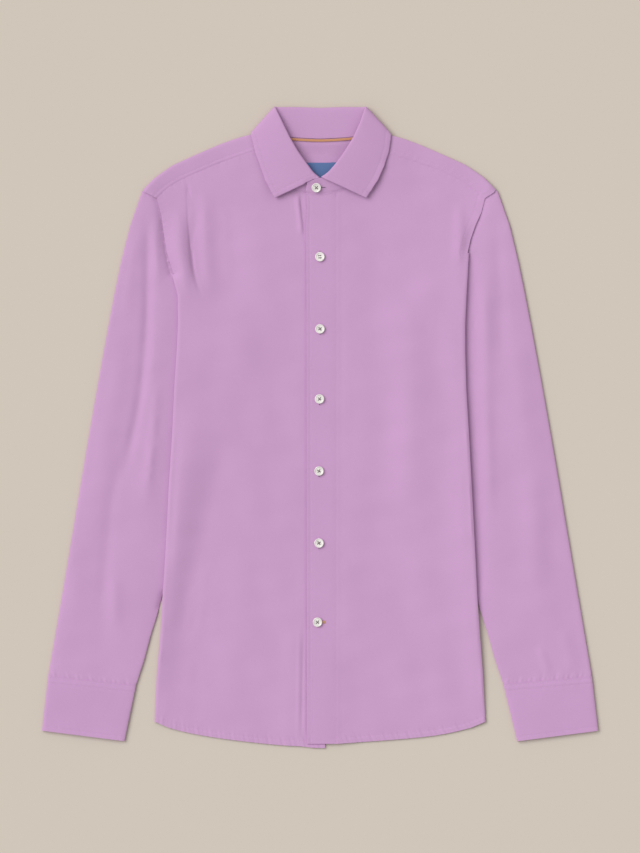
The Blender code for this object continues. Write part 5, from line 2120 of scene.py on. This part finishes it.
@dataclass
class Buttonhole:
    """A sewn buttonhole: a ribbed loop of thread round a dark lens of painted shade in its slit.

    Attributes:
        length: Length over all.
        width: Width over all.
        girth: Thickness of the sewn loop.
    """

    length: float = 15.0
    width: float = 2.6
    girth: float = 0.9

    RIBS = 26
    ROUND = 20

    def model(self) -> Object:
        """Returns: the sewn loop, along X on the cloth at height 0, in millimetres."""
        bpy.ops.mesh.primitive_torus_add(
            major_radius=(self.width - self.girth) / 2, minor_radius=self.girth / 2,
            major_segments=self.ROUND, minor_segments=8)
        ring = bpy.context.object
        begin_edit(ring)
        half = self.stretch(ring, 1e-4)
        pick(ring, "EDGE", lambda edge: edge.calc_length() > half)
        bpy.ops.mesh.subdivide(number_cuts=2 * self.RIBS - 1)
        step = half / self.RIBS

        def is_furrow(vertex: bmesh.types.BMVert) -> bool:
            """Tells whether a vertex belongs to every second ring round the strand."""
            over = abs(vertex.co.x) - half
            if over < 1e-3:
                return round((vertex.co.x + half) / step) % 2 == 1
            turn = math.atan2(abs(vertex.co.y), over)
            return round(turn / (2 * math.pi / self.ROUND)) % 2 == 0

        pick(ring, "VERT", is_furrow)
        bpy.ops.transform.shrink_fatten(value=-0.13)
        bpy.ops.mesh.select_all(action="SELECT")
        bpy.ops.transform.resize(value=(1.0, 1.0, 0.6), center_override=(0.0, 0.0, 0.0))
        bpy.ops.transform.translate(value=(0.0, 0.0, 0.12))
        end_edit()
        smoothed(ring.data)
        return ring

    def stretch(self, piece: Object, past: float) -> float:
        """Draws the round shape in edit mode out to the buttonhole's length.

        Args:
            piece: The shape.
            past: How far from the middle the ends begin.

        Returns:
            How far each end moved.
        """
        half = (self.length - self.width) / 2
        for side in (1, -1):
            pick(piece, "VERT", lambda vertex: vertex.co.x * side > past)
            bpy.ops.transform.translate(value=(side * half, 0.0, 0.0))
        return half

    def slit(self) -> Object:
        """Returns: a slim dark lens with a bevelled edge, painted shade in the slit, in millimetres."""
        bpy.ops.mesh.primitive_cylinder_add(vertices=16, radius=(self.width - self.girth) / 2, depth=0.3,
                                            end_fill_type="TRIFAN", location=(0, 0, -0.02))
        slit = bpy.context.object
        bpy.ops.object.transform_apply(location=True, rotation=True, scale=True)
        begin_edit(slit)
        self.stretch(slit, 0.01)
        pick(slit, "EDGE", lambda edge: all(vertex.co.z > 0 for vertex in edge.verts)
             and edge.calc_face_angle(0) > 1.0)
        bpy.ops.mesh.bevel(offset=0.08, segments=2, profile=0.5)
        end_edit()
        return slit


@dataclass(frozen=True)
class Fastening:
    """One buttoned place.

    Attributes:
        number: The button's number, from the collar down.
        turn: How far its holes are turned, in degrees.
        thread: How its thread runs.
        across: Whether its buttonhole lies across the shirt.
        offset: How far the buttonhole's middle lies from the button, along the buttonhole.
    """

    number: int
    turn: float = 0.0
    thread: Sewn = Sewn.CROSS
    across: bool = False
    offset: float = 0.0


@dataclass
class Buttons:
    """All buttons, with their threads and buttonholes."""

    button: Button = field(default_factory=Button)
    thread: ButtonThread = field(default_factory=ButtonThread)
    hole: Buttonhole = field(default_factory=Buttonhole)
    places: tuple[Fastening, ...] = (
        Fastening(1, 4.0, across=True, offset=4.6),
        Fastening(2, 3.0, Sewn.BARS, offset=0.6),
        Fastening(3, -6.0, offset=-0.5),
        Fastening(4, 5.0, offset=-0.8),
        Fastening(5, 12.0, offset=-0.9),
        Fastening(6, -8.0, offset=-0.9),
        Fastening(7, 3.0, across=True, offset=1.9),
    )
    tack_places: tuple[float, ...] = (6.4, 7.2, 8.0, 8.8)
    tack_length: float = 3.6

    def build(self, room: Workroom, nodes: dict[str, Object]) -> None:
        """Makes the buttons.

        Args:
            room: The workroom.
            nodes: The frame's nodes.
        """
        disc = self.button.model()
        threads = {way: self.thread.model(self.button, way) for way in Sewn}
        loop = self.hole.model()
        slit = self.hole.slit()
        for place in self.places:
            name = f"button_{place.number}"
            seat = self.seat(nodes[name])
            turned = seat @ moved(0, 0, self.button.shank, place.turn)
            button = dressed(copied(disc, f"{name}_shell", turned), SHELL, scaled=True)
            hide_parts(name)
            dressed(copied(threads[place.thread], f"{name}_thread", turned), DARK_THREAD, scaled=True)
            under = "collar_stand" if place.number == 1 else "placket"
            run = seat @ moved(0, 0, 0, 0.0 if place.across else 90.0) @ moved(place.offset, 0, 0)
            # The slit's dark lens is painted shade.
            for model, kind, finish in ((loop, "buttonhole", LILAC_THREAD_AND_HIGHLIGHT), (slit, "slit", SLIT_SHADE)):
                piece = copied(model, f"{name}_{kind}", Matrix.Identity(4))
                self.lay_down(piece, run, room.surfaces[under])
                dressed(piece, finish, scaled=True)
            if place.number == 7:
                self.tack(seat)
        for model in (disc, loop, slit, *threads.values()):
            bpy.data.objects.remove(model)

    def seat(self, node: Object) -> Matrix:
        """Finds where a button lies.

        Args:
            node: The button's node.

        Returns:
            The place of the middle of its foot and its tilt, in millimetres.
        """
        co = coordinates(node.data)
        middle = (co.min(0) + co.max(0)) / 2
        axis = Vector(np.linalg.eigh(np.cov((co - middle).T))[1][:, 0])
        axis = axis if axis.z > 0 else -axis
        tilt = Vector((0, 0, 1)).rotation_difference(axis).to_matrix().to_4x4()
        foot = Vector(middle) - axis * self.button.height / 2
        return Matrix.Translation(foot) @ tilt

    def lay_down(self, piece: Object, run: Matrix, surface: BVHTree) -> None:
        """Lays a flat model on the cloth, so that it follows it.

        Args:
            piece: The model, in millimetres, which changes.
            run: Where it goes.
            surface: The cloth's surface.
        """
        for vertex in piece.data.vertices:
            spot = run @ Vector((vertex.co.x, vertex.co.y, 0.0))
            over = fall(surface, spot.x, spot.y)
            vertex.co = Vector((spot.x, spot.y, (over or spot).z + vertex.co.z))

    def tack(self, seat: Matrix) -> None:
        """Sews the small tan tack beside the lowest button.

        Args:
            seat: The button's place.
        """
        strand = self.thread.strand(self.tack_length)
        strands = [copied(strand, "tack", seat @ moved(x, 0, -0.75, 90.0)) for x in self.tack_places]
        bpy.data.objects.remove(strand)
        tack = joined(strands)
        tack.name = "button_7_tack"
        smoothed(tack.data)
        dressed(tack, TAN_THREAD, scaled=True)


@dataclass
class Studio:
    """Floor, light and camera.

    Attributes:
        width: Width of the camera's view on the surface, in metres.
        distance: Height of the camera.
        aim: Place that it looks at.
        shape: Width and height of the picture.
        floor: Colour of the floor, linear.
        key: Strength of the key light.
        softness: Its width, as an angle in degrees.
        azimuth: Way that it comes from, in degrees from +X.
        elevation: How high it stands, in degrees.
        fill: Strength of the even light from all round.
    """

    width: float = 0.768
    distance: float = 6.0
    aim: Spot = (0.0006, -0.0012)
    shape: tuple[int, int] = (640, 853)
    floor: Colour = (0.640, 0.578, 0.505, 1.0)
    key: float = 1.99
    softness: float = 45.0
    azimuth: float = 150.0
    elevation: float = 50.0
    fill: float = 0.50

    HALF_FLOOR = 9.0
    FLOOR_LEVEL = -0.0001

    def build(self) -> None:
        """Makes the floor, the lights and the camera."""
        self.lay_floor()
        self.hang_key()
        world = bpy.data.worlds.new("studio")
        world.use_nodes = True
        sky = world.node_tree.nodes["Background"].inputs
        sky["Color"].default_value = (1.0, 0.99, 0.98, 1.0)
        sky["Strength"].default_value = self.fill
        bpy.context.scene.world = world
        bpy.context.scene.view_settings.view_transform = "Standard"
        self.place_camera()

    def lay_floor(self) -> None:
        """Makes the plain pale floor."""
        mesh = bpy.data.meshes.new("floor")
        corners = [(x * self.HALF_FLOOR, y * self.HALF_FLOOR, self.FLOOR_LEVEL)
                   for x, y in ((-1, -1), (1, -1), (1, 1), (-1, 1))]
        mesh.from_pydata(corners, [], [(0, 1, 2, 3)])
        floor = linked("floor", mesh)
        material = bpy.data.materials.new("pale_floor")
        material.use_nodes = True
        graph = Graph(material.node_tree)
        cloud = graph.mottled(Cloud_Size=300.0).outputs["Cloud"]
        lit = graph.vector("SCALE", self.floor[:3], Scale=graph.math("MULTIPLY_ADD", cloud, 0.02, 0.99))
        graph.fill(Base_Color=lit, Roughness=0.9, Specular_IOR_Level=0.1)
        mesh.materials.append(material)
        floor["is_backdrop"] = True

    def hang_key(self) -> None:
        """Hangs the broad soft key light, far off to the left of the collar."""
        lamp = bpy.data.lights.new("key", "SUN")
        lamp.energy = self.key
        lamp.angle = math.radians(self.softness)
        lamp.color = (1.0, 0.99, 0.975)
        holder = linked("key", lamp)
        turn = math.radians(self.azimuth)
        rise = math.radians(self.elevation)
        place = Vector((math.cos(rise) * math.cos(turn), math.cos(rise) * math.sin(turn), math.sin(rise)))
        holder.location = place * 3.0
        holder.rotation_euler = (-place).to_track_quat("-Z", "Y").to_euler()

    def place_camera(self) -> None:
        """Hangs the camera over the shirt, looking straight down."""
        data = bpy.data.cameras.new("camera")
        high = self.width * self.shape[1] / self.shape[0]
        data.lens = data.sensor_width * self.distance / high
        data.clip_end = 50.0
        camera = linked("camera", data)
        camera.location = (*self.aim, self.distance)
        bpy.context.scene.camera = camera


def main() -> None:
    """Builds the shirt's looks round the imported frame."""
    logging.basicConfig(level=logging.INFO, format="%(message)s")
    for thing in list(bpy.data.objects):
        bpy.data.objects.remove(thing)
    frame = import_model()
    low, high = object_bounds()
    bpy.ops.object.select_all(action="DESELECT")
    room = Workroom(frame["nodes"], low, high)
    Body().build(room)
    for side in Side:
        Sleeve(side).build(room)
    Placket().build(room)
    Collar().build(room)
    Buttons().build(room, frame["nodes"])
    Studio().build()


if __name__ == "__main__":
    main()
